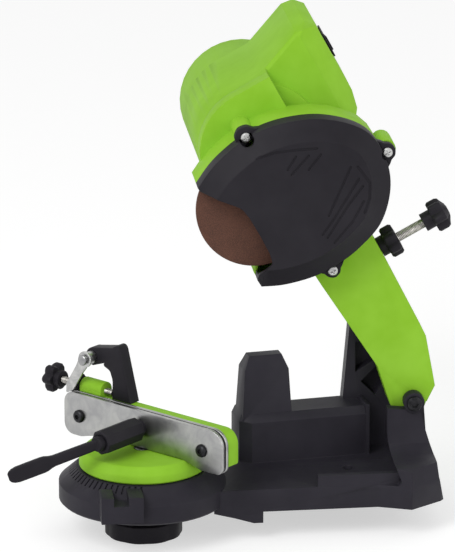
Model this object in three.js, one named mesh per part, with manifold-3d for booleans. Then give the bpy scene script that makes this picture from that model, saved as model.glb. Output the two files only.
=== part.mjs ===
// Electric chainsaw sharpener: a bench base with a swivelling chain vise and a
// hinged grinding head. Millimetres, +X towards the head's pivot, +Y towards the
// motor, +Z up. The underside of the bench foot lies in the plane z = 0.

import * as THREE from 'three';
import { ConvexGeometry } from 'three/addons/geometries/ConvexGeometry.js';
import { mergeVertices } from 'three/addons/utils/BufferGeometryUtils.js';
import Module from 'manifold-3d';

const wasm = await Module();
wasm.setup();

// General clearances
const seatGap = 0.3;
const runGap = 0.4;
const overrun = 4;
const deg = Math.PI / 180;

// Grinding wheel, its flanges and spindle
const wheelR = 50;
const wheelT = 3.2;
const spindleR = 4;
const spindleFront = 14;
const hubR = 5;
const flangeR = 14;
const outerFlangeR = 8.5;
const innerFlangeT = 5;
const outerFlangeT = 3.6;
const spindleNutR = 6.5;
const spindleNutT = 6;
const spindleHoleR = 7.6;

// Reduction gears
const gearModule = 1.5;
const gearTeeth = 37;
const pinionTeeth = 19;
const gearT = 8;
const pinionT = 9;
const motorBearing = 46.6 * deg;

// Bearings, all of one size
const bearingR = 11;
const bearingBoreR = 4;
const bearingT = 7;
const bearingWall = 3;

// Head shell
const jointY = 4;
const shellWall = 3;
const housingBackY = 36;
const gearWallY = 11;
const gearWallT = 2.5;
const backWallT = 3.5;
const neckEndY = 49.7;
const earR = 8.4;
const earScrewR = 2.2;
const screwHeadR = 4.4;
const screwHeadT = 2.8;

// Front cover
const coverRimDepth = 17;
const coverFaceDepth = 26;
const coverInset = 17;
const grooveWidth = 2.2;
const grooveDepth = 1;

// Motor casing with its side box
const casingR = 53.5;
const casingWall = 3;
const casingEndY = 200;
const cornerEndY = 156;
const cornerShare = 0.657;
const boxFrontY = 58;
const boxEdge = 6;
const boxSlope = 16;
const boxSlopeWidth = 13;
const ventWidth = 4;
const ventLength = 26;
const ventPitch = 9;

// Motor
const motorShaftR = 4;
const shaftHoleR = 6.4;
const motorShaftStart = 21;
const motorShaftEnd = 186;
const statorR = 38;
const statorBoreR = 23;
const statorStart = 82;
const stackLength = 48;
const armatureR = 22.4;
const coilR = 18;
const fanR = 31;
const fanStart = 62;
const fanT = 11;
const commutatorR = 11;
const commutatorStart = 138;
const commutatorLength = 15;
const brushWidth = 7;
const brushDepth = 9;
const rearBearingY = 176;

// Head arm
const armFrontY = 14;
const armBackY = 50;
const armWall = 3.5;
const armHubR = 12;

// Depth screw through the arm
const depthScrewR = 3.7;
const depthScrewY = 32;
const depthScrewShare = 1.9;
const depthScrewTip = 23.5;
const depthNutBoss = 7;
const depthNutT = 12;
const depthKnobBoss = 3;
const depthBossR = 9;
const depthBossLength = 16;
const depthKnobX = 119;
const starR = 14;
const starT = 14;
const starHubR = 9;
const starArms = 6;
const starArmWidth = 7.5;

// Head pose on the base
const tilt = 28.8 * deg;
const armReach = 223;
const armOffset = 34.1;

// Base, foot and bench lip
const pivotX = 95.5;
const pivotZ = 78.7;
const pivotPinR = 4;
const pinHeadR = 6.5;
const pinHeadT = 2.7;
const pivotNutR = 7.6;
const pivotNutT = 6.5;
const footLeft = -38.5;
const footRight = 119.5;
const footFront = -35;
const footRear = 96;
const footLowShare = 0.985;
const footTopShare = 0.94;
const keelShare = 0.6;
const lipDrop = 10;
const lipWidth = 8;
const floorFront = 20;
const floorBack = 25.8;
const floorRun = 49;
const footWall = 4;
const parapetTop = 30;
const parapetT = 6;
const parapetStart = 8;
const parapetEnd = 78;
const benchHoleR = 4.5;
const benchHoleX = 38.5;
const benchHoleY = 0;
const padSize = 16;

// Pivot cheek and tower
const cheekFront = 5;
const cheekBack = 13;
const cheekReach = -45;
const cheekBossR = 9;
const cheekBossProud = 2;
const towerFront = 52;
const towerBack = 68;
const towerBossR = 11;
const towerPocket = 12;

// Raised box and stop post
const boxTurn = 8.3 * deg;
const boxCornerX = -42.4;
const boxCornerY = 14;
const boxLength = 104;
const boxDepth = 35;
const boxTop = 68;
const boxBevel = 6;
const boxCut = 9;
const endRibT = 3.5;
const endRibProud = 3;
const postTop = 118;
const postShoulder = 106;
const postLeft = -6.5;
const postFoot = 43.5;
const postDepth = 26;
const postDraft = 2.5;
const postCap = 5;

// Vise seat
const tableX = -137;
const seatR = 72;
const seatRimTop = 21;
const seatTop = 34.4;
const seatTopR = 57;
const seatUnder = 4.5;
const seatHubR = 20;
const seatHubDrop = 9;
const scaleTeeth = 24;
const scaleStart = 148 * deg;
const scaleStep = 5 * deg;
const scaleToothLength = 6;
const scaleToothWidth = 1.6;
const scaleToothDepth = 1.6;
const pointerWidth = 35.4;
const pointerReach = 80;
const pointerBack = 55;
const pointerBottom = 10.5;
const pointerTop = 33;
const pointerX = -24.9;
const pointerSlot = 12.4;
const pointerSlotX = -25.8;
const pointerSlotFloor = 25.5;

// Clamp bolt, washer and knob
const clampBoltR = 4;
const clampHeadR = 8;
const clampHeadT = 5;
const washerR = 13;
const washerT = 2;
const clampKnobR = 33;
const clampKnobT = 15;
const clampKnobHubR = 15;
const clampKnobEdge = 4;
const clampScallops = 10;
const scallopR = 14;
const scallopDepth = 1.8;
const boltEndRecess = 3;

// Vise table and rail
const railAngle = -46.3 * deg;
const tableR = 54.6;
const tableT = 14.8;
const tableBevelR = 50;
const tableBevelDrop = 7;
const slotHalf = 1.1;
const plateT = 3;
const railLeft = -86;
const railRight = 91;
const plateTop = 83;
const plateBottom = 45;
const plateMid = 50.3;
const plateEndR = 10;
const plateNoseR = 14;
const plateToeR = 7;
const lugStart = 47;
const lugFull = 67;
const bracketRight = 89;
const bracketNoseR = 12.5;
const bracketToeR = 3;
const bracketLeft = -76;
const bracketT = 15;
const bracketTop = 80;
const bracketBottom = 49;
const railScrewX = 68.5;
const railScrewZ = 63;
const railScrewR = 2.9;
const railHeadR = 5.6;
const railHeadT = 3.2;
const railSocketR = 2;
const railScrewDepth = 12;

// Clamp lever
const studR = 3.8;
const leverZ = 68;
const barrelStart = 9.5;
const barrelEnd = 55;
const barrelR = 10.8;
const barrelChamfer = 1.8;
const collarR = 7.5;
const barrelRecess = 7;
const leverRootR = 6.4;
const leverRootOut = 6;
const leverReachX = -47;
const leverReachY = -60;
const leverReachZ = -24.3;
const leverNeckWidth = 9.3;
const leverBladeWidth = 14;
const leverBladeT = 5;
const leverTipWidth = 7;
const leverNeckShare = 0.5;
const leverBladeShare = 0.6;
const leverTipShare = 0.92;

// Chain stop
const stopZ = 85;
const stopLugLeft = -76;
const stopLugRight = -52;
const stopLugR = 8;
const stopScrewR = 3;
const stopScrewY = 12;
const stopScrewEnd = -44;
const stopNutT = 9;
const stopNutR = 8;
const stopKnobX = -106;
const stopKnobT = 10;
const stopKnobR = 13;
const stopKnobHubR = 8;
const stopLegT = 7;
const stopLegFront = 9;
const stopLegWidth = 13;
const stopArmTop = 130;
const stopArmHeight = 16;
const stopBossR = 8;
const pawlPinX = -65;
const pawlPinZ = 114;
const pawlPinR = 2.5;
const pawlPinHeadR = 4.5;
const pawlPinHeadT = 2.3;
const pawlClipR = 3.8;
const stopBushR = 5.5;
const pawlReachX = -21;
const pawlReachZ = -34;
const pawlRingR = 7;
const pawlWidth = 9;
const pawlTipShare = 0.82;
const pawlT = 1.8;

// Return spring
const springR = 8.2;
const springWireR = 1.1;
const springTurns = 4;
const springStart = 38.5;
const springPitch = 2.6;
const springTang = 5;
const springPocketR = 12;

// Switch and cord inlet
const switchY = 118;
const switchLength = 28;
const switchWidth = 19;
const switchShare = 0.588;
const switchDepth = 18;
const bezelLip = 2;
const bezelT = 1.6;
const rockerThrow = 1.6;
const rockerGap = 1;
const glandR = 7;
const glandLipR = 9;
const glandBoreR = 3.6;
const glandShares = [1.255, 0.177];

// Places that follow from the sizes above
const pitchR = (teeth) => (gearModule * teeth) / 2;
const centreDistance = pitchR(gearTeeth) + pitchR(pinionTeeth);
const motorX = centreDistance * Math.cos(motorBearing);
const motorZ = centreDistance * Math.sin(motorBearing);
const cornerX = motorX + cornerShare * casingR;
const switchZ = motorZ + switchShare * casingR;
const glandX = motorX + glandShares[0] * casingR;
const glandZ = motorZ + glandShares[1] * casingR;
const depthScrewZ = -depthScrewShare * wheelR;
const frontBearingY = gearWallY + gearWallT + seatGap;
const backWallEnd = neckEndY - overrun - seatGap - seatGap;
const gearPocketEnd = backWallEnd - backWallT;
const backBearingY = gearPocketEnd - bearingT - seatGap;
const gearY = frontBearingY + bearingT + gearModule + seatGap;
const tableBottom = seatTop + seatGap;
const tableTop = tableBottom + tableT;
const plateOut = slotHalf + plateT;
const bracketFront = plateOut + seatGap;
const knobTop = -seatHubDrop - washerT - seatGap - seatGap;

// Materials
const finish = (color, roughness, metalness) => new THREE.MeshStandardMaterial({ color, roughness,
  metalness });
const green = () => finish(0x8cc43a, 0.45, 0);
const black = () => finish(0x2e2c30, 0.55, 0);
const casting = () => finish(0x34323a, 0.7, 0);
const zinc = () => finish(0xb9bcc0, 0.35, 0.9);
const steel = () => finish(0x9fa2a6, 0.35, 0.9);
const darkSteel = () => finish(0x3b3c40, 0.45, 0.8);
const abrasive = () => finish(0x54392f, 0.95, 0);
const copper = () => finish(0xb5703a, 0.4, 0.9);
const carbon = () => finish(0x1b1b1c, 0.9, 0);

// Solids: three.js geometry handed to the solid library and back
function solid(geometry) {
  const bare = geometry.clone();
  bare.deleteAttribute('normal');
  bare.deleteAttribute('uv');
  const merged = mergeVertices(bare, 1e-4);
  const mesh = new wasm.Mesh({
    numProp: 3,
    vertProperties: new Float32Array(merged.attributes.position.array),
    triVerts: new Uint32Array(merged.index.array),
  });
  return new wasm.Manifold(mesh);
}

const join = (first, ...rest) => rest.reduce((sum, next) => sum.add(next), first);
const cut = (first, ...rest) => rest.reduce((sum, next) => sum.subtract(next), first);
const common = (first, ...rest) => rest.reduce((sum, next) => sum.intersect(next), first);
const moved = (body, x, y, z) => body.translate([x, y, z]);
const turned = (body, x, y, z) => body.rotate([x / deg, y / deg, z / deg]);

const axisX = new THREE.Vector3(1, 0, 0);
const axisY = new THREE.Vector3(0, 1, 0);
const axisZ = new THREE.Vector3(0, 0, 1);

const outline = (points) => new THREE.Shape(points.map(([a, b]) => new THREE.Vector2(a, b)));
const shares = (table, size) => table.map(([a, b]) => [a * size, b * size]);

// An outline from corners [a, b, radius], with each radius drawn as an arc
const arcSteps = 5;
function rounded(corners) {
  const points = [];
  const count = corners.length;
  corners.forEach(([a, b, radius], i) => {
    if (!radius) {
      points.push([a, b]);
      return;
    }
    const corner = new THREE.Vector2(a, b);
    const [beforeA, beforeB] = corners[(i + count - 1) % count];
    const [afterA, afterB] = corners[(i + 1) % count];
    const before = new THREE.Vector2(beforeA, beforeB).sub(corner).normalize();
    const after = new THREE.Vector2(afterA, afterB).sub(corner).normalize();
    const half = Math.acos(before.dot(after)) / 2;
    const centre = before.clone().add(after).setLength(radius / Math.sin(half)).add(corner);
    const start = before.clone().setLength(radius / Math.tan(half)).add(corner);
    const turn = (2 * half - Math.PI) * Math.sign(before.cross(after));
    for (let k = 0; k <= arcSteps; k += 1) {
      const point = start.clone().rotateAround(centre, (turn * k) / arcSteps);
      points.push([point.x, point.y]);
    }
  });
  return points;
}

function extrude(points, depth, basis) {
  const geometry = new THREE.ExtrudeGeometry(outline(points), { depth, bevelEnabled: false });
  return solid(geometry.applyMatrix4(basis));
}

// An outline of (x, z) points between two values of y
function prismY(points, y0, y1) {
  const basis = new THREE.Matrix4().makeBasis(axisX, axisZ, axisY.clone().negate());
  return moved(extrude(points, y1 - y0, basis), 0, y1, 0);
}

// An outline of (x, y) points between two values of z
function prismZ(points, z0, z1) {
  return moved(extrude(points, z1 - z0, new THREE.Matrix4()), 0, 0, z0);
}

// An outline of (y, z) points between two values of x
function prismX(points, x0, x1) {
  const basis = new THREE.Matrix4().makeBasis(axisY, axisZ, axisX);
  return moved(extrude(points, x1 - x0, basis), x0, 0, 0);
}

function box(x0, x1, y0, y1, z0, z1) {
  const geometry = new THREE.BoxGeometry(x1 - x0, y1 - y0, z1 - z0);
  return moved(solid(geometry), (x0 + x1) / 2, (y0 + y1) / 2, (z0 + z1) / 2);
}

// Round bars along each axis, at a centre in the other two
function rodY(r, x, z, y0, y1, sides = 20) {
  return moved(solid(new THREE.CylinderGeometry(r, r, y1 - y0, sides)), x, (y0 + y1) / 2, z);
}

function rodZ(r, x, y, z0, z1, sides = 20) {
  const geometry = new THREE.CylinderGeometry(r, r, z1 - z0, sides).rotateX(Math.PI / 2);
  return moved(solid(geometry), x, y, (z0 + z1) / 2);
}

function rodX(r, y, z, x0, x1, sides = 20) {
  const geometry = new THREE.CylinderGeometry(r, r, x1 - x0, sides).rotateZ(Math.PI / 2);
  return moved(solid(geometry), (x0 + x1) / 2, y, z);
}

// A turned piece: (radius, height) points about the vertical axis
function turnedZ(profile, sides) {
  const points = profile.map(([r, h]) => new THREE.Vector2(r, h));
  return solid(new THREE.LatheGeometry(points, sides).rotateX(Math.PI / 2));
}

function hull(points) {
  return solid(new ConvexGeometry(points.map(([x, y, z]) => new THREE.Vector3(x, y, z))));
}

// A star knob on the X axis, from x0 on, with a hub and rounded arms
function starX(x0, thickness, radius, hubRadius, y, z, boreRadius) {
  let star = rodX(hubRadius, y, z, x0, x0 + thickness, 16);
  for (let i = 0; i < starArms; i += 1) {
    const angle = (i * 2 * Math.PI) / starArms;
    const reach = radius - starArmWidth / 2;
    const tipY = y + reach * Math.cos(angle);
    const tipZ = z + reach * Math.sin(angle);
    const tip = rodX(starArmWidth / 2, tipY, tipZ, x0, x0 + thickness, 10);
    const slab = box(x0, x0 + thickness, 0, reach, -starArmWidth / 2, starArmWidth / 2);
    star = join(star, tip, moved(turned(slab, angle, 0, 0), 0, y, z));
  }
  return cut(star, rodX(boreRadius, y, z, x0 - overrun, x0 + thickness + overrun, 16));
}

function hexNutY(r, x, z, y0, y1, bore) {
  return cut(rodY(r, x, z, y0, y1, 6), rodY(bore, x, z, y0 - overrun, y1 + overrun, 16));
}

function bearing(x, z, y0) {
  const ring = rodY(bearingR, x, z, y0, y0 + bearingT);
  return cut(ring, rodY(bearingBoreR + seatGap / 2, x, z, y0 - overrun, y0 + bearingT + overrun));
}

// A spur gear about an axis along Y; phase turns it so that a tooth or a gap
// faces the other gear. Tooth sizes are shares of the module and of the pitch.
const addendumShare = 0.85;
const dedendumShare = 1.2;
const rootToothShare = 0.62;
const tipToothShare = 0.24;
function gear(teeth, phase, x, z, y0, y1, bore) {
  const tipR = pitchR(teeth) + addendumShare * gearModule;
  const rootR = pitchR(teeth) - dedendumShare * gearModule;
  const step = (2 * Math.PI) / teeth;
  const points = [];
  for (let i = 0; i < teeth; i += 1) {
    const middle = phase + i * step;
    const flank = [
      [rootR, -rootToothShare / 2],
      [tipR, -tipToothShare / 2],
      [tipR, tipToothShare / 2],
      [rootR, rootToothShare / 2],
    ];
    for (const [r, share] of flank) {
      const angle = middle + share * step;
      points.push([x + r * Math.cos(angle), z + r * Math.sin(angle)]);
    }
  }
  return cut(prismY(points, y0, y1), rodY(bore, x, z, y0 - overrun, y1 + overrun, 16));
}

// The assembly
const sharpener = new THREE.Group();
const head = new THREE.Group();
const table = new THREE.Group();
head.rotation.y = -tilt;
head.position.set(
  pivotX - armOffset * Math.cos(tilt) - armReach * Math.sin(tilt),
  0,
  pivotZ - armOffset * Math.sin(tilt) + armReach * Math.cos(tilt),
);
table.position.set(tableX, 0, 0);
table.rotation.z = railAngle;
sharpener.add(head, table);

function add(group, name, body, material) {
  const { vertProperties, triVerts } = body.getMesh();
  const geometry = new THREE.BufferGeometry();
  geometry.setAttribute('position', new THREE.BufferAttribute(new Float32Array(vertProperties), 3));
  geometry.setIndex(new THREE.BufferAttribute(new Uint32Array(triVerts), 1));
  geometry.computeVertexNormals();
  const mesh = new THREE.Mesh(geometry, material);
  mesh.name = name;
  group.add(mesh);
}

// Outlines of the head, as shares of the wheel's radius. The first runs round
// the cover from its upper tip to its lower jaw, the second is the wheel's notch.
const coverShares = [
  [-0.65, 0.874], [-0.23, 1.076], [0.28, 1.196], [0.71, 1.212], [1.19, 1.112], [1.7, 0.878],
  [2.13, 0.496], [2.32, 0.1], [2.29, -0.43], [2.08, -0.87], [1.7, -1.24], [1.21, -1.424],
  [0.786, -1.492], [0.306, -1.48], [-0.2, -1.35], [-0.556, -1.18],
];
const notchShares = [
  [-2, 0.84], [-0.67, 0.84], [-0.555, 0.705], [-0.18, 0.25], [-0.146, 0.03], [-0.14, -0.32],
  [-0.15, -0.68], [-0.19, -0.87], [-0.49, -0.95], [-0.62, -1.13], [-2, -1.13],
];
const housingNotchShares = [
  [-2, 0.86], [-0.69, 0.86], [-0.42, 0.66], [0.02, 0.22], [0.04, -0.32],
  [0.02, -0.66], [-0.12, -0.86], [-0.49, -0.93], [-0.66, -1.1], [-2, -1.1],
];
const earShares = [[0.46, 1.19], [2.39, -0.25], [0.61, -1.6]];
const outlineSteps = 28;

function coverOutline() {
  const curve = new THREE.SplineCurve(shares(coverShares, wheelR).map(([a, b]) => new THREE.Vector2(a, b)));
  return curve.getPoints(outlineSteps).map((p) => [p.x, p.y]).reverse();
}

// An outline, running anticlockwise, drawn in all round by a distance
function drawnIn(points, distance) {
  const count = points.length;
  const inward = ([ax, az], [bx, bz]) => {
    const length = Math.hypot(bx - ax, bz - az);
    return [(az - bz) / length, (bx - ax) / length];
  };
  return points.map((point, i) => {
    const [px, pz] = inward(points[(i + count - 1) % count], point);
    const [nx, nz] = inward(point, points[(i + 1) % count]);
    const mitre = distance / (1 + px * nx + pz * nz);
    return [point[0] + (px + nx) * mitre, point[1] + (pz + nz) * mitre];
  });
}

// The cover's form: an upright rim, then a band that slopes in to a flat face
function shellForm(inset, rim, face, slope) {
  const ring = (distance, y) => drawnIn(coverOutline(), distance).map(([x, z]) => [x, y, z]);
  return hull([...ring(inset, jointY), ...ring(inset, jointY - rim),
    ...ring(inset + slope, jointY - face)]);
}

function ears(y0, y1, radius) {
  return shares(earShares, wheelR).map(([x, z]) => rodY(radius, x, z, y0, y1, 16));
}

function frontCover() {
  const rear = jointY - seatGap;
  const outer = shellForm(0, coverRimDepth, coverFaceDepth, coverInset);
  const inner = shellForm(shellWall, coverRimDepth - shellWall / 2, coverFaceDepth - shellWall, coverInset);
  const notch = prismY(shares(notchShares, wheelR), -casingR, casingR);
  const trim = box(-casingEndY, casingEndY, rear, casingR, -casingEndY, casingEndY);
  const earPads = ears(jointY - earR, rear, earR);
  const earHoles = ears(-casingR, casingR, earScrewR + seatGap);
  const earSeats = ears(-casingR, jointY - earR, 2 * screwHeadR - earScrewR);
  const wheelSlot = rodY(wheelR + 2 * runGap, 0, 0, -wheelT, jointY + overrun, 48);
  let cover = join(cut(outer, inner, notch), ...earPads.map((pad) => cut(pad, common(inner, pad))));
  cover = cut(cover, trim, wheelSlot, ...earHoles, ...earSeats);
  return cut(cover, ...grooves());
}

// Grooves on the cover's face: hooked leaves and a long arc to the right of the
// wheel's axle, an arc over it and three short strokes. Shares of the wheel's radius.
const grooveShares = [
  [[1.738, -0.052], [1.026, -0.604]], [[1.762, -0.302], [1.092, -0.688], [0.778, -0.844]],
  [[1.756, -0.45], [1.402, -0.608], [0.824, -0.934]], [[1.646, -0.688], [1.322, -0.9], [0.882, -1.072]],
  [[1.846, -0.106], [1.888, -0.454], [1.764, -0.682], [1.568, -0.868]],
  [[0.456, 0.88], [0.764, 0.816], [1.148, 0.648], [1.402, 0.52]],
  [[1.034, 0.578], [0.81, 0.448]], [[1.228, 0.482], [0.826, 0.338]], [[1.41, 0.394], [1.114, 0.268]],
];
function grooves() {
  const faceY = jointY - coverFaceDepth;
  const half = grooveWidth / 2;
  const bars = [];
  for (const path of grooveShares) {
    const points = shares(path, wheelR);
    for (let i = 1; i < points.length; i += 1) {
      const [x0, z0] = points[i - 1];
      const dx = points[i][0] - x0;
      const dz = points[i][1] - z0;
      const bar = box(-half, Math.hypot(dx, dz) + half, faceY - overrun, faceY + grooveDepth, -half, half);
      bars.push(moved(turned(bar, 0, -Math.atan2(dz, dx), 0), x0, 0, z0));
    }
  }
  return bars;
}

function coverScrew(x, z) {
  const faceY = jointY - earR;
  const headT = screwHeadT;
  const head0 = rodY(screwHeadR, x, z, faceY - headT - seatGap, faceY - seatGap, 20);
  const shank = rodY(earScrewR, x, z, faceY - headT, jointY + 2 * earR, 16);
  const bar = (w, h) => box(x - w, x + w, faceY - 2 * headT, faceY - headT + headT * 0.3, z - h, z + h);
  const slotLong = earScrewR;
  const slotWide = earScrewR * 0.25;
  return cut(join(head0, shank), join(bar(slotLong, slotWide), bar(slotWide, slotLong)));
}

// The motor casing's cross-section: a circle with a flat corner towards the box
const casingSteps = 26;
function casingOutline(inset) {
  const r = casingR - inset;
  const right = cornerX - inset;
  const points = [];
  const dx = right - motorX;
  const low = -Math.acos(dx / r);
  for (let i = 0; i <= casingSteps; i += 1) {
    const angle = Math.PI / 2 + ((low + 1.5 * Math.PI) * i) / casingSteps;
    points.push([motorX + r * Math.cos(angle), motorZ + r * Math.sin(angle)]);
  }
  points.push([right, motorZ + r]);
  return points;
}

// The arm in the head's frame, as shares of its reach along z and its right
// edge's distance along x
const armRight = 73.4;
const armShares = [
  [0.2, -0.36], [0.21, -0.42], [0.302, -0.815], [0.207, -0.982], [0.28, -1.025], [0.4, -1.04],
  [0.6, -1.035], [0.772, -0.995], [0.967, -0.8], [1, -0.44], [1, -0.3], [0.9, -0.2], [0.3, -0.2],
];
const channelShares = [
  [-1, -0.377], [0.952, -0.377], [0.952, -0.46], [0.917, -0.733], [0.6, -0.771], [-1, -0.771],
];
const armPoints = (table0) => table0.map(([a, b]) => [a * armRight, b * armReach]);

function armBody() {
  const body = prismY(armPoints(armShares), armFrontY, armBackY);
  const hub = rodY(armHubR, armOffset, -armReach, armFrontY, armBackY - overrun);
  const channel = prismY(armPoints(channelShares), armFrontY + armWall, armBackY - armWall);
  const bossX = armRight - armWall;
  const boss = rodX(depthBossR, depthScrewY, depthScrewZ, bossX - depthBossLength, bossX + armWall / 2);
  const bore = rodX(depthScrewR + seatGap, depthScrewY, depthScrewZ, 0, armRight + overrun);
  const pin = rodY(pivotPinR + runGap / 2, armOffset, -armReach, 0, armBackY + overrun);
  const pocket = rodY(springPocketR, armOffset, -armReach, springStart - springWireR - seatGap,
    armBackY + overrun);
  const tangX = armOffset + springR * Math.cos(tilt);
  const tangZ = -armReach - springR * Math.sin(tilt);
  const tangHole = rodY(springWireR + runGap, tangX, tangZ, springStart - 1.5 * springTang, springStart,
    10);
  return cut(join(cut(join(body, hub), channel), boss), bore, pin, pocket, tangHole);
}

function wheelHousing() {
  const gearcaseR = pitchR(gearTeeth) + addendumShare * gearModule + runGap;
  const pinionR = pitchR(pinionTeeth) + addendumShare * gearModule + runGap;
  const outer = cut(
    prismY(coverOutline(), jointY, housingBackY),
    prismY(shares(housingNotchShares, wheelR), 0, housingBackY + overrun),
  );
  const chamber = prismY(drawnIn(coverOutline(), shellWall), 0, housingBackY - shellWall);
  const notchWall = prismY(shares(housingNotchShares, wheelR).map(([x, z]) => [x + shellWall, z]), 0,
    housingBackY);
  const hollow = cut(chamber, notchWall);
  const gearcase = join(
    rodY(gearcaseR + gearWallT, 0, 0, gearWallY, gearPocketEnd + backWallT, 32),
    rodY(pinionR + gearWallT, motorX, motorZ, gearWallY, gearPocketEnd + backWallT),
  );
  const pocket = join(
    rodY(gearcaseR, 0, 0, gearWallY + gearWallT, gearPocketEnd, 32),
    rodY(pinionR, motorX, motorZ, gearWallY + gearWallT, gearPocketEnd),
  );
  const neck = prismY(casingOutline(0), housingBackY - shellWall, neckEndY);
  const neckInner = prismY(casingOutline(casingWall), backWallEnd, neckEndY + overrun);
  const shell = join(cut(outer, hollow), neck, gearcase, armBody(), ...ears(jointY, housingBackY, earR));
  const seatR0 = bearingR + bearingWall;
  const frontSeat = rodY(seatR0, 0, 0, gearWallY, frontBearingY + bearingT);
  const backSeat = rodY(seatR0, 0, 0, backBearingY, gearPocketEnd + seatGap);
  const motorSeat = rodY(seatR0, motorX, motorZ, backWallEnd - seatGap, backWallEnd + bearingT);
  const bearingBore = (x, z, y0, y1) => rodY(bearingR + seatGap / 2, x, z, y0, y1);
  return cut(
    join(cut(shell, pocket, neckInner), frontSeat, backSeat, motorSeat),
    bearingBore(0, 0, gearWallY + gearWallT, frontBearingY + bearingT + overrun),
    bearingBore(0, 0, backBearingY - overrun / 8, gearPocketEnd),
    bearingBore(motorX, motorZ, backWallEnd, backWallEnd + bearingT + overrun),
    rodY(spindleHoleR, 0, 0, 0, gearWallY + gearWallT + overrun),
    rodY(flangeR + 2 * runGap, 0, 0, 0, gearWallY),
    rodY(shaftHoleR, motorX, motorZ, gearWallY + gearWallT, backWallEnd + overrun),
    ...ears(0, housingBackY - shellWall, earScrewR + seatGap),
  );
}

// The side box that holds the switch, from the motor's axis, as shares of the
// casing's radius. Its outer side slopes in towards the front face.
const boxShares = [
  [0.442, -0.664], [0.442, 0.981], [1.348, 1.327], [1.545, 1.299], [1.676, 1.149], [1.676, -0.084],
  [1.61, -0.384], [1.423, -0.645], [1.199, -0.757],
];
const boxCoreShares = [
  [0.302, -0.589], [0.489, 0.916], [1.339, 1.252], [1.498, 1.233], [1.61, 1.112], [1.61, -0.066],
  [1.545, -0.327], [1.377, -0.57], [1.199, -0.683],
];
const sideX = motorX + boxShares[4][0] * casingR;
function sideBox(table0, y0, y1, edge) {
  const points = table0.map(([a, b]) => [motorX + a * casingR, motorZ + b * casingR]);
  const cx = points.reduce((sum, [a]) => sum + a, 0) / points.length;
  const cz = points.reduce((sum, [, b]) => sum + b, 0) / points.length;
  const ring = (y, inset) => points.map(([a, b]) => {
    const r = Math.hypot(a - cx, b - cz);
    return [cx + ((a - cx) * (r - inset)) / r, y, cz + ((b - cz) * (r - inset)) / r];
  });
  const right = Math.max(...points.map(([a]) => a)) - boxSlopeWidth;
  const sloped = (y, inset, limit) => ring(y, inset).map(([a, , b]) => [Math.min(a, limit), y, b]);
  return hull([
    ...sloped(y0, edge, right - edge / 2), ...sloped(y0 + edge / 2, edge / 2, right + edge / 4),
    ...ring(y0 + boxSlope, 0), ...ring(y1 - edge, 0), ...ring(y1, edge),
  ]);
}

function motorCasing() {
  const front = neckEndY + seatGap;
  const roundOutline = (inset) => rodY(casingR - inset, motorX, motorZ, front, casingEndY - inset, 36);
  const outer = join(
    roundOutline(0),
    prismY(casingOutline(0), front, cornerEndY),
    sideBox(boxShares, boxFrontY, cornerEndY, boxEdge),
  );
  const inner = join(
    rodY(casingR - casingWall, motorX, motorZ, front + casingWall, casingEndY - 2 * casingWall, 36),
    prismY(casingOutline(casingWall), front - overrun, cornerEndY - casingWall),
    sideBox(boxCoreShares, boxFrontY + casingWall, cornerEndY - casingWall, boxEdge),
  );
  let casing = cut(outer, inner);
  const ribAngles = [0, 1, 2, 3];
  for (const k of ribAngles) {
    const rib = box(statorR + seatGap, 2 * casingR, statorStart, statorStart + stackLength, -casingWall,
      casingWall);
    const placed = moved(turned(rib, 0, (k * Math.PI) / 2 + Math.PI / 4, 0), motorX, 0, motorZ);
    casing = join(casing, common(placed, outer));
  }
  const rearSeat = rodY(bearingR + bearingWall, motorX, motorZ, rearBearingY, casingEndY - casingWall / 2);
  const seatBore = rodY(bearingR + seatGap / 2, motorX, motorZ, rearBearingY - overrun,
    rearBearingY + bearingT + seatGap);
  const endBore = rodY(shaftHoleR, motorX, motorZ, rearBearingY, rearBearingY + bearingT + overrun);
  casing = cut(join(casing, rearSeat), seatBore, endBore);
  const ventRows = [-2, -1, 0, 1, 2];
  for (const side of [-1, 1]) {
    for (const k of ventRows) {
      const middle = motorZ + side * (bearingR + bearingWall + ventLength / 2 + overrun / 2);
      const x = motorX + k * ventPitch;
      const slot = box(x - ventWidth / 2, x + ventWidth / 2, casingEndY - 2 * casingWall,
        casingEndY + overrun,
        middle - ventLength / 2, middle + ventLength / 2);
      casing = cut(casing, slot);
    }
  }
  const switchHole = box(sideX - switchDepth, sideX + overrun, switchY - switchLength / 2,
    switchY + switchLength / 2,
    switchZ - switchWidth / 2, switchZ + switchWidth / 2);
  const glandHole = rodY(glandR + seatGap, glandX, glandZ, cornerEndY - 2 * boxEdge, cornerEndY + overrun,
    16);
  return cut(casing, switchHole, glandHole);
}

function switchBody() {
  const halfL = switchLength / 2 - seatGap;
  const halfW = switchWidth / 2 - seatGap;
  const can = box(sideX - switchDepth, sideX + bezelT + seatGap, switchY - halfL, switchY + halfL,
    switchZ - halfW, switchZ + halfW);
  const lip = box(sideX + seatGap, sideX + seatGap + bezelT, switchY - halfL - bezelLip,
    switchY + halfL + bezelLip,
    switchZ - halfW - bezelLip, switchZ + halfW + bezelLip);
  const well = box(sideX - rockerThrow * 2, sideX + overrun, switchY - halfL + bezelLip,
    switchY + halfL - bezelLip,
    switchZ - halfW + bezelLip, switchZ + halfW - bezelLip);
  return cut(join(can, lip), well);
}

function switchRocker() {
  const halfL = switchLength / 2 - seatGap - bezelLip - rockerGap;
  const halfW = switchWidth / 2 - seatGap - bezelLip - runGap;
  const face = sideX + bezelT;
  const points = [
    [switchY - halfL, face + rockerThrow], [switchY, face + rockerThrow / 3], [switchY + halfL, face],
    [switchY + halfL, sideX - rockerThrow / 3], [switchY, sideX - rockerThrow * 1.6],
    [switchY - halfL, sideX],
  ];
  const basis = new THREE.Matrix4().makeBasis(axisY, axisX, axisZ.clone().negate());
  return moved(extrude(points, 2 * halfW, basis), 0, 0, switchZ + halfW);
}

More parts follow.
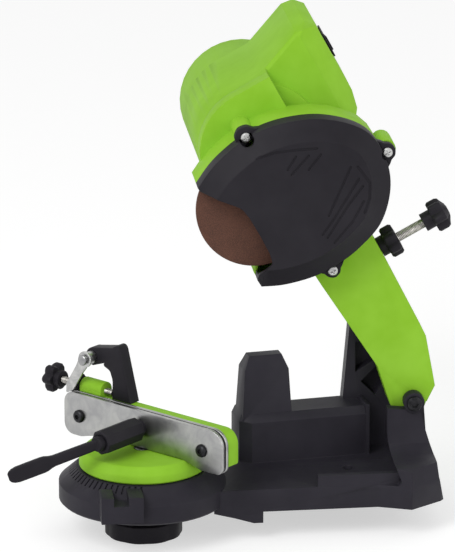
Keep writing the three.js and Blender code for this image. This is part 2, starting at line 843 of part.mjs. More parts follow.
function cordGland() {
  const rear = cornerEndY;
  const inside = rodY(glandR, glandX, glandZ, rear - 2 * boxEdge, rear + seatGap + bezelT, 16);
  const lip = rodY(glandLipR, glandX, glandZ, rear + seatGap, rear + seatGap + bezelT, 16);
  const nose = rodY(glandR - bezelT, glandX, glandZ, rear, rear + 2 * glandR, 16);
  return cut(join(inside, lip, nose), rodY(glandBoreR, glandX, glandZ, rear - casingR, rear + casingR, 16));
}

function buildHead() {
  add(head, 'wheel_housing', wheelHousing(), green());
  add(head, 'motor_casing', motorCasing(), green());
  add(head, 'front_cover', frontCover(), black());
  const names = ['cover_screw_top', 'cover_screw_right', 'cover_screw_bottom'];
  shares(earShares, wheelR).forEach(([x, z], i) => add(head, names[i], coverScrew(x, z), zinc()));
  add(head, 'switch_body', switchBody(), black());
  add(head, 'switch_rocker', switchRocker(), carbon());
  add(head, 'cord_gland', cordGland(), black());
}

function buildSpindle() {
  const halfT = wheelT / 2;
  const wheel = cut(rodY(wheelR, 0, 0, -halfT, halfT, 64), rodY(hubR + seatGap, 0, 0, -overrun, overrun));
  add(head, 'grinding_wheel', wheel, abrasive());
  const innerStart = halfT + seatGap;
  const innerEnd = innerStart + innerFlangeT;
  const bore = rodY(spindleR + seatGap / 2, 0, 0, -overrun, overrun * 3);
  const inner = cut(join(rodY(flangeR, 0, 0, innerStart, innerEnd),
    rodY(hubR, 0, 0, -halfT + seatGap, innerEnd)), bore);
  add(head, 'inner_flange', inner, steel());
  const outerStart = -halfT - seatGap - outerFlangeT;
  const outerBore = rodY(spindleR + seatGap / 2, 0, 0, outerStart - overrun, 0);
  add(head, 'outer_flange', cut(rodY(outerFlangeR, 0, 0, outerStart, -halfT - seatGap), outerBore), zinc());
  const nutEnd = outerStart - seatGap;
  add(head, 'spindle_nut', hexNutY(spindleNutR, 0, 0, nutEnd - spindleNutT, nutEnd,
    spindleR + seatGap / 2), zinc());
  const spindleEnd = backBearingY + bearingT;
  const shoulder = rodY(bearingBoreR + bezelT, 0, 0, innerEnd + seatGap, frontBearingY - seatGap);
  add(head, 'spindle', join(rodY(spindleR, 0, 0, -spindleFront, spindleEnd), shoulder), steel());
  const spur = gear(gearTeeth, motorBearing, 0, 0, gearY, gearY + gearT, spindleR + seatGap / 2);
  add(head, 'drive_gear', spur, darkSteel());
  add(head, 'spindle_bearing_front', bearing(0, 0, frontBearingY), steel());
  add(head, 'spindle_bearing_rear', bearing(0, 0, backBearingY), steel());
}

function buildMotor() {
  const at = (r, y0, y1, sides = 20) => rodY(r, motorX, motorZ, y0, y1, sides);
  const shaftBore = at(motorShaftR + seatGap / 2, 0, casingEndY, 16);
  add(head, 'motor_shaft', at(motorShaftR, motorShaftStart, motorShaftEnd, 16), steel());
  const gapPhase = motorBearing + Math.PI + Math.PI / pinionTeeth;
  const pinion = gear(pinionTeeth, gapPhase, motorX, motorZ, gearY, gearY + pinionT,
    motorShaftR + seatGap / 2);
  add(head, 'motor_pinion', pinion, darkSteel());
  add(head, 'motor_bearing_front', bearing(motorX, motorZ, backWallEnd + seatGap), steel());
  add(head, 'motor_bearing_rear', bearing(motorX, motorZ, rearBearingY), steel());
  const blades = [];
  const bladeCount = 8;
  for (let i = 0; i < bladeCount; i += 1) {
    const blade = box(fanR / 3, fanR, fanStart + bezelT, fanStart + fanT, -bezelT / 2, bezelT / 2);
    blades.push(moved(turned(blade, 0, (i * 2 * Math.PI) / bladeCount, 0), motorX, 0, motorZ));
  }
  const fanDisc = join(at(fanR, fanStart, fanStart + 1.5 * bezelT),
    at(fanR / 3, fanStart, fanStart + fanT), ...blades);
  add(head, 'cooling_fan', cut(fanDisc, shaftBore), black());
  const stackEnd = statorStart + stackLength;
  const windings = join(at(armatureR, statorStart, stackEnd), at(coilR, statorStart - overrun,
    stackEnd + overrun));
  add(head, 'armature', cut(windings, shaftBore), copper());
  add(head, 'commutator', cut(at(commutatorR, commutatorStart, commutatorStart + commutatorLength),
    shaftBore), copper());
  const stator = cut(at(statorR, statorStart, stackEnd, 28), at(statorBoreR, statorStart - overrun,
    stackEnd + overrun));
  add(head, 'stator', stator, darkSteel());
  const brushMid = commutatorStart + commutatorLength / 2;
  for (const side of [-1, 1]) {
    const near = motorX + side * (commutatorR + seatGap);
    const far = motorX + side * Math.sqrt(casingR ** 2 - brushWidth ** 2) - side * (casingWall + seatGap);
    const brush = box(Math.min(near, far), Math.max(near, far), brushMid - brushDepth / 2,
      brushMid + brushDepth / 2,
      motorZ - brushWidth / 2, motorZ + brushWidth / 2);
    add(head, side < 0 ? 'brush_left' : 'brush_right', brush, carbon());
  }
}

function buildDepthScrew() {
  const rodEnd = depthKnobX + starT - bezelT;
  add(head, 'depth_rod', rodX(depthScrewR, depthScrewY, depthScrewZ, depthScrewTip, rodEnd, 16), zinc());
  const bore = depthScrewR + seatGap / 2;
  const nutStart = armRight + seatGap;
  const starStart = nutStart + depthNutBoss - bezelT;
  const nutStar = starX(starStart, depthNutT, starR, starHubR, depthScrewY, depthScrewZ, bore);
  const nutHub = cut(
    rodX(starHubR, depthScrewY, depthScrewZ, nutStart, nutStart + depthNutBoss, 16),
    rodX(bore, depthScrewY, depthScrewZ, 0, nutStart + starT + overrun, 16),
  );
  add(head, 'depth_lock_nut', join(nutHub, nutStar), black());
  const knobStar = starX(depthKnobX, starT, starR, starHubR, depthScrewY, depthScrewZ, bore);
  const hub = rodX(starHubR, depthScrewY, depthScrewZ, depthKnobX - depthKnobBoss, depthKnobX + overrun,
    16);
  const cap = rodX(starHubR, depthScrewY, depthScrewZ, rodEnd + seatGap, depthKnobX + starT + depthNutBoss,
    16);
  const through = rodX(bore, depthScrewY, depthScrewZ, 0, rodEnd + seatGap, 16);
  add(head, 'depth_knob', join(cut(join(hub, knobStar), through), cap), black());
}

// The base: a foot that stands on the bench, a lip that drops in front of the
// bench's edge, and the round seat of the vise beyond it
const planShares = [
  [-0.93, -0.46], [-0.46, -0.37], [0.5, -0.36], [0.73, -0.47], [0.96, -0.27], [1, -0.2],
  [1, 0.9], [0.93, 1], [-0.2, 1], [-0.52, 0.76], [-1.1, 0.62],
];

function seat() {
  const profile = [
    [0, seatUnder], [seatR - overrun / 2, seatUnder], [seatR, seatUnder + overrun / 2], [seatR, seatRimTop],
    [seatTopR, seatTop], [0, seatTop],
  ];
  const body = join(turnedZ(profile, 56), rodZ(seatHubR, 0, 0, -seatHubDrop, seatTop));
  const teeth = [];
  for (let i = 0; i < scaleTeeth; i += 1) {
    const drop = Math.atan2(seatTop - seatRimTop, seatR - seatTopR);
    const half = scaleToothWidth / 2;
    const groove = box(0, scaleToothLength / Math.cos(drop), -half, half, -scaleToothDepth, overrun);
    const laid = moved(turned(groove, 0, drop, 0), seatTopR, 0, seatTop);
    teeth.push(turned(laid, 0, 0, scaleStart + i * scaleStep));
  }
  return moved(cut(body, ...teeth), tableX, 0, 0);
}

function seatPocket() {
  const wall = footWall;
  const ring = cut(
    rodZ(seatR - wall, 0, 0, -overrun, seatRimTop - wall, 48),
    rodZ(seatHubR, 0, 0, -2 * overrun, seatRimTop),
  );
  const ribCount = 3;
  let pocket = ring;
  for (let i = 0; i < ribCount; i += 1) {
    const rib = box(-seatR, seatR, -wall / 2, wall / 2, -2 * overrun, seatTop);
    pocket = cut(pocket, turned(rib, 0, 0, (i * Math.PI) / ribCount));
  }
  return moved(pocket, tableX, 0, 0);
}

function pointer() {
  const x0 = tableX + pointerX - pointerWidth / 2;
  const block = box(x0, x0 + pointerWidth, -pointerReach, -pointerBack, pointerBottom, pointerTop);
  const slotX = tableX + pointerSlotX - pointerSlot / 2;
  const slot = box(slotX, slotX + pointerSlot, -pointerReach - overrun, -pointerBack + overrun,
    pointerSlotFloor, pointerTop + overrun);
  return cut(block, slot);
}

function footBody() {
  const plan = planShares.map(([a, b]) => [a < 0 ? -a * tableX : a * footRight, b * footRear]);
  const low = -lipDrop;
  const high = floorBack;
  const side = [
    [2 * tableX, seatUnder], [tableX + seatR * keelShare, seatUnder], [footLeft - lipWidth, low],
    [footLeft, low],
    [footLeft, 0], [footRight * footLowShare, 0], [footRight * footTopShare, high],
    [footRight * footTopShare, high + overrun], [2 * tableX, high + overrun],
  ];
  const floor = [
    [-seatR, low], [-seatR, floorFront], [footFront, floorFront], [footFront + floorRun, floorBack],
    [footRear + overrun, floorBack], [footRear + overrun, low],
  ];
  return common(
    prismZ(plan, low, high),
    prismY(side, -seatR, footRear + overrun),
    prismX(floor, 2 * tableX, footRight + overrun),
  );
}

function footPockets() {
  const right = footRight * footTopShare - footWall;
  const x = [footLeft + footWall, -padSize / 2, padSize / 2, footRight / 2, right];
  const y = [footFront + footWall, -padSize / 2, padSize / 2, footRear / 2, footRear - footWall];
  const top = floorFront - footWall;
  const half = footWall / 2;
  const cells = [
    [x[0], x[1], y[0], y[3] - half], [x[2], x[3] - half, y[0], y[1]],
    [x[2], x[3] - half, y[2], y[3] - half],
    [x[3] + half, x[4] - 4 * footWall, y[0], y[3] - half], [x[1], x[3] - half, y[3] + half, y[4]],
    [x[3] + half, x[4], y[3] + half, y[4]],
  ];
  const boss = rodZ(2 * benchHoleR + footWall, benchHoleX, benchHoleY, -overrun, floorBack);
  return cells.map(([x0, x1, y0, y1]) => cut(box(x0, x1, y0, y1, -overrun, top), boss));
}

function raisedBox() {
  const low = floorFront - footWall;
  const topFront = boxTop - boxBevel;
  const ring = (z, inset) => [
    [-boxCut + inset / 2, boxCut + inset / 2, z], [inset / 2, inset, z], [boxLength, inset, z],
    [boxLength, boxDepth, z], [-boxCut + inset / 2, boxDepth, z],
  ];
  const body = hull([...ring(low, 0), ...ring(topFront, 0), ...ring(boxTop, boxBevel)]);
  const rib = box(boxLength - endRibT, boxLength, -endRibProud / 2, boxDepth, low, boxTop + endRibProud);
  return moved(turned(join(body, rib), 0, 0, boxTurn), boxCornerX, boxCornerY, 0);
}

function stopPost() {
  const level = (z, inset) => {
    const left = postLeft + inset;
    const right = postLeft + postFoot - inset;
    const front = boxBevel + inset;
    const back = boxBevel + postDepth - inset;
    return [[left, front, z], [right, front, z], [right, back, z], [left, back, z]];
  };
  const body = hull([
    ...level(boxTop - boxBevel, 0), ...level(postShoulder, postDraft),
    ...level(postTop, postDraft + postCap),
  ]);
  return moved(turned(body, 0, 0, boxTurn), boxCornerX, boxCornerY, 0);
}

// The cheek that carries the pivot in front, as shares of the pivot's height
// and of the foot's right edge; and its sweep from the foot's front wall
const cheekShares = [
  [0.55, 0.1], [0.66, 0.3], [0.62, 0.46], [0.606, 0.64], [0.604, 0.95], [0.71, 0.93], [0.843, 0.93],
  [0.88, 0.7], [0.925, 0.47], [0.94, 0.33], [0.965, 0.1],
];
const sweepShares = [[-1, 0.1], [-1, 0.42], [-0.88, 0.45], [-0.22, 0.48], [0, 0.56], [0.72, 0.72],
  [1, 1.3]];
function cheek() {
  const face = cheekShares.map(([a, b]) => [a * footRight, b * pivotZ]);
  const sweep = sweepShares.map(([a, b]) => [a < 0 ? -a * cheekReach : a * cheekFront, b * pivotZ]);
  sweep.push([cheekBack, sweep[6][1]], [cheekBack, sweep[0][1]]);
  const corner = planShares.slice(2, 9).map(([a, b]) => [a * footRight, b * footRear]);
  const body = common(
    prismY(face, cheekReach - overrun, cheekBack),
    prismX(sweep, 0, footRight + overrun),
    prismZ(corner, 0, pivotZ + armHubR),
  );
  return join(body, rodY(cheekBossR, pivotX, pivotZ, cheekFront - cheekBossProud, cheekBack));
}

const towerShares = [
  [0.32, 0.2], [0.338, 0.85], [0.385, 1.7], [0.455, 1.72], [0.58, 1.62], [0.92, 1.08], [0.935, 0.7],
  [0.96, 0.2],
];
const towerPocketShares = [
  [[0.43, 1.17], [0.43, 1.52], [0.49, 1.52], [0.56, 1.3]],
  [[0.47, 1.06], [0.585, 1.24], [0.66, 1.1], [0.575, 0.9]],
];
function tower() {
  const toPoints = (table0) => table0.map(([a, b]) => [a * footRight, b * pivotZ]);
  const wall = prismY(toPoints(towerShares), towerFront, towerBack);
  const pockets = towerPocketShares.map((table0) => prismY(toPoints(table0), towerFront - overrun,
    towerFront + towerPocket));
  const boss = rodY(towerBossR, pivotX, pivotZ, towerFront, towerBack);
  return cut(join(wall, boss), ...pockets);
}

function parapet() {
  const front = footFront + seatGap;
  return box(parapetStart, parapetEnd, front, front + parapetT, floorFront - overrun, parapetTop);
}

function base() {
  const solids = join(footBody(), seat(), pointer(), raisedBox(), stopPost(), cheek(), tower(), parapet());
  const springHole = rodY(springWireR + runGap, pivotX + springR, pivotZ, towerFront - overrun,
    towerFront + 2 * springTang, 12);
  return cut(
    solids,
    ...footPockets(),
    seatPocket(),
    rodY(pivotPinR + seatGap / 2, pivotX, pivotZ, cheekReach, towerBack + overrun),
    rodZ(clampBoltR + seatGap, tableX, 0, -clampKnobR, seatTop + overrun),
    rodZ(benchHoleR, benchHoleX, benchHoleY, -overrun, boxTop, 16),
    springHole,
  );
}

function pivotPin() {
  const front = cheekFront - cheekBossProud - seatGap;
  const headBody = rodY(pinHeadR, pivotX, pivotZ, front - pinHeadT, front, 16);
  return join(headBody, rodY(pivotPinR, pivotX, pivotZ, front - pinHeadT / 2,
    towerBack + pivotNutT + overrun, 16));
}

class SpringPath extends THREE.Curve {
  getPoint(t) {
    const length = springTurns * springPitch;
    const whole = length + 2 * springTang;
    const along = t * whole - springTang;
    const inCoil = Math.min(Math.max(along, 0), length);
    const angle = (inCoil / springPitch) * 2 * Math.PI;
    return new THREE.Vector3(springR * Math.cos(angle), along, springR * Math.sin(angle));
  }
}

function returnSpring() {
  const ring = [];
  const sides = 5;
  for (let i = 0; i < sides; i += 1) {
    const angle = (i * 2 * Math.PI) / sides;
    ring.push([springWireR * Math.cos(angle), springWireR * Math.sin(angle)]);
  }
  const steps = Math.round(8 * (springTurns + (2 * springTang) / springPitch));
  const geometry = new THREE.ExtrudeGeometry(outline(ring), { steps, extrudePath: new SpringPath() });
  return moved(solid(geometry), pivotX, springStart, pivotZ);
}

function buildBase() {
  add(sharpener, 'base', base(), casting());
  add(sharpener, 'pivot_pin', pivotPin(), steel());
  const nutStart = towerBack + seatGap;
  const nut = hexNutY(pivotNutR, pivotX, pivotZ, nutStart, nutStart + pivotNutT, pivotPinR + seatGap / 2);
  add(sharpener, 'pivot_nut', nut, zinc());
  add(sharpener, 'return_spring', returnSpring(), steel());
  const washer = cut(
    rodZ(washerR, tableX, 0, -seatHubDrop - seatGap - washerT, -seatHubDrop - seatGap),
    rodZ(clampBoltR + seatGap, tableX, 0, -clampKnobR, 0),
  );
  add(sharpener, 'clamp_washer', washer, zinc());
  const under = knobTop - clampKnobT;
  const edge = clampKnobEdge;
  const scallops = [];
  for (let i = 0; i < clampScallops; i += 1) {
    const angle = (i * 2 * Math.PI) / clampScallops;
    const reach = clampKnobR + scallopR - scallopDepth;
    const x = tableX + reach * Math.cos(angle);
    scallops.push(rodZ(scallopR, x, reach * Math.sin(angle), under - overrun, knobTop + overrun, 32));
  }
  const dish = cut(
    rodZ(clampKnobR - edge - footWall, tableX, 0, under - overrun, under + clampKnobT / 2, 32),
    rodZ(clampKnobHubR, tableX, 0, under - 2 * overrun, knobTop),
  );
  const profile = [
    [0, under], [clampKnobR - edge, under], [clampKnobR - edge / 4, under + edge / 4],
    [clampKnobR, under + edge],
    [clampKnobR, knobTop - edge / 2], [clampKnobR - edge / 2, knobTop], [0, knobTop],
  ];
  const knob = cut(
    moved(turnedZ(profile, 48), tableX, 0, 0),
    dish,
    rodZ(clampBoltR + seatGap / 2, tableX, 0, under - overrun, knobTop + overrun),
    ...scallops,
  );
  add(sharpener, 'clamp_knob', knob, black());
}

// The vise, drawn with its rail along x, its front towards -y and its table's
// axis at x = y = 0
function viseTable() {
  const profile = [
    [0, tableBottom], [tableR - plateT / 2, tableBottom], [tableR, tableBottom + plateT / 2],
    [tableR, tableTop - tableBevelDrop], [tableBevelR, tableTop], [0, tableTop],
  ];
  const back = bracketFront + bracketT;
  const bar = prismY(rounded([
    [bracketLeft, bracketBottom, bracketToeR], [bracketRight, bracketBottom, bracketToeR],
    [bracketRight, bracketTop, bracketNoseR], [bracketLeft, bracketTop, bracketToeR],
  ]), bracketFront, back);
  const lug = join(
    box(stopLugLeft, stopLugRight, stopScrewY - stopLugR, stopScrewY + stopLugR, railScrewZ, stopZ),
    rodX(stopLugR, stopScrewY, stopZ, stopLugLeft, stopLugRight),
  );
  const headHole = rodZ(clampHeadR + seatGap, 0, 0, tableTop - clampHeadT - seatGap, tableTop + overrun);
  const boltHole = rodZ(clampBoltR + seatGap / 2, 0, 0, 0, tableTop);
  const holes = [-railScrewX, railScrewX].map((x) => rodY(railScrewR + seatGap / 2, x, railScrewZ, 0,
    bracketFront + railScrewDepth + seatGap, 20));
  return cut(
    join(turnedZ(profile, 48), bar, cut(lug, box(stopLugLeft, stopLugRight, 0, bracketFront, 0,
    2 * stopZ))),
    headHole,
    boltHole,
    ...holes,
    rodY(studR + seatGap / 2, 0, leverZ, 0, back + overrun, 20),
    rodX(stopScrewR + seatGap / 2, stopScrewY, stopZ, stopLugLeft - overrun, stopLugRight + overrun, 20),
  );
}

function plateOutline() {
  return rounded([
    [railLeft, plateBottom, plateEndR], [-lugFull, plateBottom], [-lugStart, plateMid],
    [lugStart, plateMid],
    [lugFull, plateBottom], [railRight, plateBottom, plateToeR], [railRight, plateTop, plateNoseR],
    [railLeft, plateTop, plateEndR],
  ]);
}

function railPlate(y0, y1, screwClear) {
  return cut(
    prismY(plateOutline(), y0, y1),
    ...[-railScrewX, railScrewX].map((x) => rodY(railScrewR + screwClear, x, railScrewZ, y0 - overrun,
    y1 + overrun, 20)),
    rodY(studR + seatGap, 0, leverZ, y0 - overrun, y1 + overrun, 20),
  );
}

function railScrew(x) {
  const face = -plateOut - seatGap;
  const headBody = rodY(railHeadR, x, railScrewZ, face - railHeadT, face, 16);
  const shank = rodY(railScrewR, x, railScrewZ, face - railHeadT / 2, bracketFront + railScrewDepth, 20);
  const socket = rodY(railSocketR, x, railScrewZ, face - railHeadT - overrun, face - railHeadT / 3, 6);
  return cut(join(headBody, shank), socket);
}

function leverBarrel() {
  const sides = 8;
  const ring = (y, r) => {
    const points = [];
    for (let i = 0; i < sides; i += 1) {
      const angle = (i * 2 * Math.PI) / sides;
      points.push([r * Math.sin(angle), y, leverZ + r * Math.cos(angle)]);
    }
    return points;
  };
  const barrel = hull([
    ...ring(-barrelEnd, barrelR - barrelChamfer), ...ring(barrelChamfer - barrelEnd, barrelR),
    ...ring(-barrelStart - barrelChamfer / 2, barrelR), ...ring(-barrelStart, barrelR - barrelChamfer / 2),
  ]);
  const collar = rodY(collarR, 0, leverZ, -barrelStart - overrun, -plateOut - seatGap, 20);
  const bore = rodY(studR + seatGap / 2, 0, leverZ, -barrelEnd / 2, 0, 20);
  const recess = rodY(leverRootR + seatGap, 0, leverZ, -barrelEnd - overrun, barrelRecess - barrelEnd, 20);
  return cut(join(barrel, collar), bore, recess);
}

function leverArm() {
  const root = rodY(leverRootR, 0, leverZ, -barrelEnd - leverRootOut, barrelRecess - seatGap - barrelEnd,
    20);
  const direction = new THREE.Vector3(leverReachX, leverReachY, leverReachZ);
  const along = direction.clone().normalize();
  const wide = axisZ.clone().addScaledVector(along, -along.z).normalize();
  const flat = new THREE.Vector3().crossVectors(wide, along);
  const start = new THREE.Vector3(0, -barrelEnd - leverRootOut / 2, leverZ);
  const section = (share, width) => {
    const middle = start.clone().addScaledVector(direction, share);
    const corners = [];
    for (const [a, b] of [[-1, -1], [1, -1], [1, 1], [-1, 1]]) {
      const corner = middle.clone().addScaledVector(wide, (a * width) / 2).addScaledVector(flat,
        (b * leverBladeT) / 2);
      corners.push([corner.x, corner.y, corner.z]);
    }
    return corners;
  };
  const back = -leverRootOut / direction.length() / 2;
  const neck = hull([...section(back, leverNeckWidth), ...section(leverNeckShare, leverNeckWidth)]);
  const flare = hull([...section(leverNeckShare, leverNeckWidth),
    ...section(leverBladeShare, leverBladeWidth)]);
  const blade = hull([
    ...section(leverBladeShare, leverBladeWidth), ...section(leverTipShare, leverBladeWidth),
    ...section(1, leverTipWidth),
  ]);
  return join(root, neck, flare, blade);
}

function stopArm() {
  const front = stopLegFront + seatGap;
  const back = stopLegFront + stopLegWidth;
  const legTop = stopArmTop - stopArmHeight;
  const foot = bracketTop + seatGap;
  const leg = [
    [stopScrewEnd + seatGap, foot], [stopScrewEnd + seatGap + 3 * stopLegT, foot],
    [stopScrewEnd + stopLegT, stopArmTop], [pawlPinX, pawlPinZ + stopBossR],
    [pawlPinX, pawlPinZ - stopBossR],
    [stopScrewEnd - stopLegT, legTop - stopLegT / 3], [stopScrewEnd + seatGap, stopZ + stopLegT * 2],
  ];
  return cut(
    join(prismY(leg, front, back), rodY(stopBossR, pawlPinX, pawlPinZ, front, back)),
    rodY(pawlPinR + seatGap / 2, pawlPinX, pawlPinZ, 0, back + overrun, 16),
  );
}

function pawl() {
  const length = Math.hypot(pawlReachX, pawlReachZ);
  const half = pawlWidth / 2;
  const shoulder = length * pawlTipShare;
  const strip = [[0, -half], [shoulder, -half], [length, 0], [shoulder, half], [0, half]];
  const body = join(prismY(strip, -pawlT / 2, pawlT / 2), rodY(pawlRingR, 0, 0, -pawlT / 2, pawlT / 2));
  const angle = -Math.atan2(pawlReachZ, pawlReachX);
  const hole = rodY(pawlPinR + runGap / 2, 0, 0, -overrun, overrun, 16);
  return moved(turned(cut(body, hole), 0, angle, 0), pawlPinX, 0, pawlPinZ);
}

function buildVise() {
  add(table, 'vise_table', viseTable(), green());
  const boltTop = tableTop - seatGap;
  const bolt = join(
    rodZ(clampHeadR, 0, 0, boltTop - clampHeadT + seatGap, boltTop, 6),
    rodZ(clampBoltR, 0, 0, knobTop - clampKnobT + boltEndRecess, boltTop - clampHeadT / 2, 16),
  );
  add(table, 'clamp_bolt', bolt, steel());
  add(table, 'rear_rail_plate', railPlate(slotHalf, plateOut, seatGap / 2), zinc());
  add(table, 'front_rail_plate', railPlate(-plateOut, -slotHalf, seatGap), zinc());
  add(table, 'rail_screw_left', railScrew(-railScrewX), black());
  add(table, 'rail_screw_right', railScrew(railScrewX), black());
  const studEnd = bracketFront + bracketT;
  add(table, 'clamp_stud', rodY(studR, 0, leverZ, overrun - barrelEnd / 2, studEnd, 20), steel());
  add(table, 'lever_barrel', leverBarrel(), black());
  add(table, 'clamp_lever', leverArm(), black());
  add(table, 'stop_arm', stopArm(), black());
  const pinBack = stopLegFront + stopLegWidth;
  const pinFront = -pawlT / 2 - overrun;
  const pin = join(
    rodY(pawlPinR, pawlPinX, pawlPinZ, pinFront, pinBack, 16),
    rodY(pawlPinHeadR, pawlPinX, pawlPinZ, pinFront, pinFront + pawlPinHeadT, 20),
    rodY(pawlClipR, pawlPinX, pawlPinZ, -pawlT / 2 - 3 * seatGap, -pawlT / 2 - seatGap, 16),
  );
  add(table, 'pawl_pin', pin, steel());
  const bush = cut(
    rodY(stopBushR, pawlPinX, pawlPinZ, pawlT / 2 + seatGap, stopLegFront, 20),
    rodY(pawlPinR + seatGap / 2, pawlPinX, pawlPinZ, 0, stopLegFront + overrun, 16),
  );
  add(table, 'pawl_bush', bush, zinc());
  add(table, 'chain_pawl', pawl(), zinc());
  const knobBore = stopScrewR + seatGap / 2;
  const screwStart = stopKnobX - stopKnobT / 2;
  add(table, 'stop_screw', rodX(stopScrewR, stopScrewY, stopZ, screwStart, stopScrewEnd, 20), zinc());
  const blind = rodX(knobBore, stopScrewY, stopZ, screwStart - seatGap, stopScrewEnd, 20);
  const star = join(
    starX(stopKnobX - stopKnobT, stopKnobT, stopKnobR, stopKnobHubR, stopScrewY, stopZ, studR / 4),
    rodX(stopKnobHubR, stopScrewY, stopZ, stopKnobX - stopKnobT, stopKnobX + stopKnobT / 2, 16),
  );
  add(table, 'stop_knob', cut(star, blind), black());
  const nutStart = stopLugLeft - seatGap - stopNutT;
  const lockNut = cut(
    rodX(stopNutR, stopScrewY, stopZ, nutStart, stopLugLeft - seatGap, 6),
    rodX(knobBore, stopScrewY, stopZ, stopKnobX, 0, 20),
  );
  add(table, 'stop_lock_nut', lockNut, black());
}

buildBase();
buildVise();
buildHead();
buildSpindle();
buildMotor();
buildDepthScrew();

export default sharpener;
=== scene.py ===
# %% [markdown]
# # Dressing an electric chainsaw sharpener
#
# A chainsaw sharpener is a small grinder on a hinged arm. A thin abrasive wheel
# swings down into a vise that holds one cutter of the saw chain at a time. The
# engineering model already has every part at its true size. This lesson gives it
# the look of the real thing: moulded green and black plastic, zinc-plated steel
# and a brown grinding wheel, seen in soft studio light.
#
# Blender counts in metres, so a length in millimetres is multiplied by MM.

# %% Load the engineering model
import math

import bmesh
import bpy
from mathutils import Matrix, Vector


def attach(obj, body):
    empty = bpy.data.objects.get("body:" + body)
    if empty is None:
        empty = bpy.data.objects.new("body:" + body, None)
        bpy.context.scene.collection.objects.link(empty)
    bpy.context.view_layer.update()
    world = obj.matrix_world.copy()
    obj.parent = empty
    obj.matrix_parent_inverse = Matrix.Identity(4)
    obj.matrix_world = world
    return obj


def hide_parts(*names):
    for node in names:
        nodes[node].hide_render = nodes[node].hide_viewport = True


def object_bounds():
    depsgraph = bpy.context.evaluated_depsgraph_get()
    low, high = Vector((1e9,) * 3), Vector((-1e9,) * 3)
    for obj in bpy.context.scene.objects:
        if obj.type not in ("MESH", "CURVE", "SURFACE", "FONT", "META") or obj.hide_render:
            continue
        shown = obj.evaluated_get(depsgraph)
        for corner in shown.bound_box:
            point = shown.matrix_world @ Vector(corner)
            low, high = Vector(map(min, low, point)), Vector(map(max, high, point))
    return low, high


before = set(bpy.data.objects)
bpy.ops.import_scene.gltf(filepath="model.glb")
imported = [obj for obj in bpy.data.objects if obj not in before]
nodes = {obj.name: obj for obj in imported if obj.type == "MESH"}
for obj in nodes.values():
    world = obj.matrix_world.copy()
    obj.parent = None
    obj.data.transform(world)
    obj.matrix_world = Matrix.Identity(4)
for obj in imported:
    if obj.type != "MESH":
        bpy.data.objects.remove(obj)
MM = 0.001
cad_low, cad_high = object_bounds()
print("parts loaded:", len(nodes))
print("size in mm:", [round((high - low) / MM) for low, high in zip(cad_low, cad_high)])

# %% [markdown]
# ## The camera
#
# A product photographer stands well back with a long lens, because near lenses
# make the front of a tool bulge. The lens length follows from how many pixels one
# millimetre covers at the tool: distance and focal length are chosen together, and
# the sensor is fitted to the picture's width. A camera could also be moved by hand
# until the picture fits, but a worked out lens gives the tool its true size. The
# Standard view transform shows each colour as it is written, with no film look.

# %% Place the camera
TURN = math.radians(6.4)
HEIGHT_ANGLE = math.radians(17.5)
DISTANCE = 4000 * MM
PIXELS_PER_MM = 1.19
PICTURE_WIDTH = 455
SENSOR_MM = 36
SIGHT_METRES = 20
aim = Vector((-65.1 * MM, 0, 199.1 * MM))
look = Vector((
    math.sin(TURN) * math.cos(HEIGHT_ANGLE),
    math.cos(TURN) * math.cos(HEIGHT_ANGLE),
    -math.sin(HEIGHT_ANGLE),
))
camera_data = bpy.data.cameras.new("studio_camera")
camera_data.sensor_fit = "HORIZONTAL"
camera_data.sensor_width = SENSOR_MM
camera_data.lens = SENSOR_MM * PIXELS_PER_MM * (DISTANCE / MM) / PICTURE_WIDTH
camera_data.clip_end = SIGHT_METRES
camera = bpy.data.objects.new("studio_camera", camera_data)
camera.location = aim - look * DISTANCE
camera.rotation_euler = look.to_track_quat("-Z", "Y").to_euler()
bpy.context.collection.objects.link(camera)
bpy.context.scene.camera = camera
bpy.context.scene.view_settings.view_transform = "Standard"
print("lens in mm:", round(camera_data.lens, 1))

# %% [markdown]
# ## A small vocabulary for materials
#
# Every finish here is a Principled shader with a few textures in front of it.
# One function turns the hex colours that painters and web pages use into the
# linear numbers that a renderer needs, and one function adds a node, sets its
# values and wires its inputs. Textures use the object's own coordinates, in
# metres, so a pattern's scale is one over its size in metres.

# %% Helpers for materials
def linear(hex_colour):
    """An sRGB hex colour as linear red, green, blue and alpha."""
    parts = [int(hex_colour[i:i + 2], 16) / 255 for i in (0, 2, 4)]
    return [p / 12.92 if p <= 0.04045 else ((p + 0.055) / 1.055) ** 2.4 for p in parts] + [1.0]


def add(tree, kind, settings=None, stops=(), **inputs):
    """Adds a node. Settings are its own options, stops the two (position, hex) ends of a
    colour ramp, and inputs are values or links for its sockets, by name, or as _0 by number."""
    node = tree.nodes.new("ShaderNode" + kind)
    for name, value in (settings or {}).items():
        setattr(node, name, value)
    for i, (position, hex_colour) in enumerate(stops):
        node.color_ramp.elements[i].position = position
        node.color_ramp.elements[i].color = linear(hex_colour)
    for name, value in inputs.items():
        key = int(name[1:]) if name[0] == "_" else name.replace("_", " ")
        if isinstance(value, bpy.types.NodeSocket):
            tree.links.new(value, node.inputs[key])
        else:
            node.inputs[key].default_value = value
    return node


def new_material(name):
    """A new material, with its node tree and its Principled shader."""
    material = bpy.data.materials.new(name)
    material.use_nodes = True
    tree = material.node_tree
    return material, tree, tree.nodes["Principled BSDF"]


def per_mm(size_mm):
    """The texture scale of a pattern whose features are size_mm apart."""
    return 1 / (size_mm * MM)


print("scale of a 1 mm pattern:", per_mm(1))

# %% [markdown]
# ## Moulded plastics
#
# The shell is nylon with glass fibre, moulded against a spark-eroded steel tool.
# The tool leaves a fine, even grain that takes the glare off the surface. The
# real grain is about 0.3 mm; here it is drawn near 1 mm so that it still shows.
# A slow change of tone of a few per cent stands for the flow of the melt. A picture
# of the surface could give the grain too, but noise has no seams and needs no file.

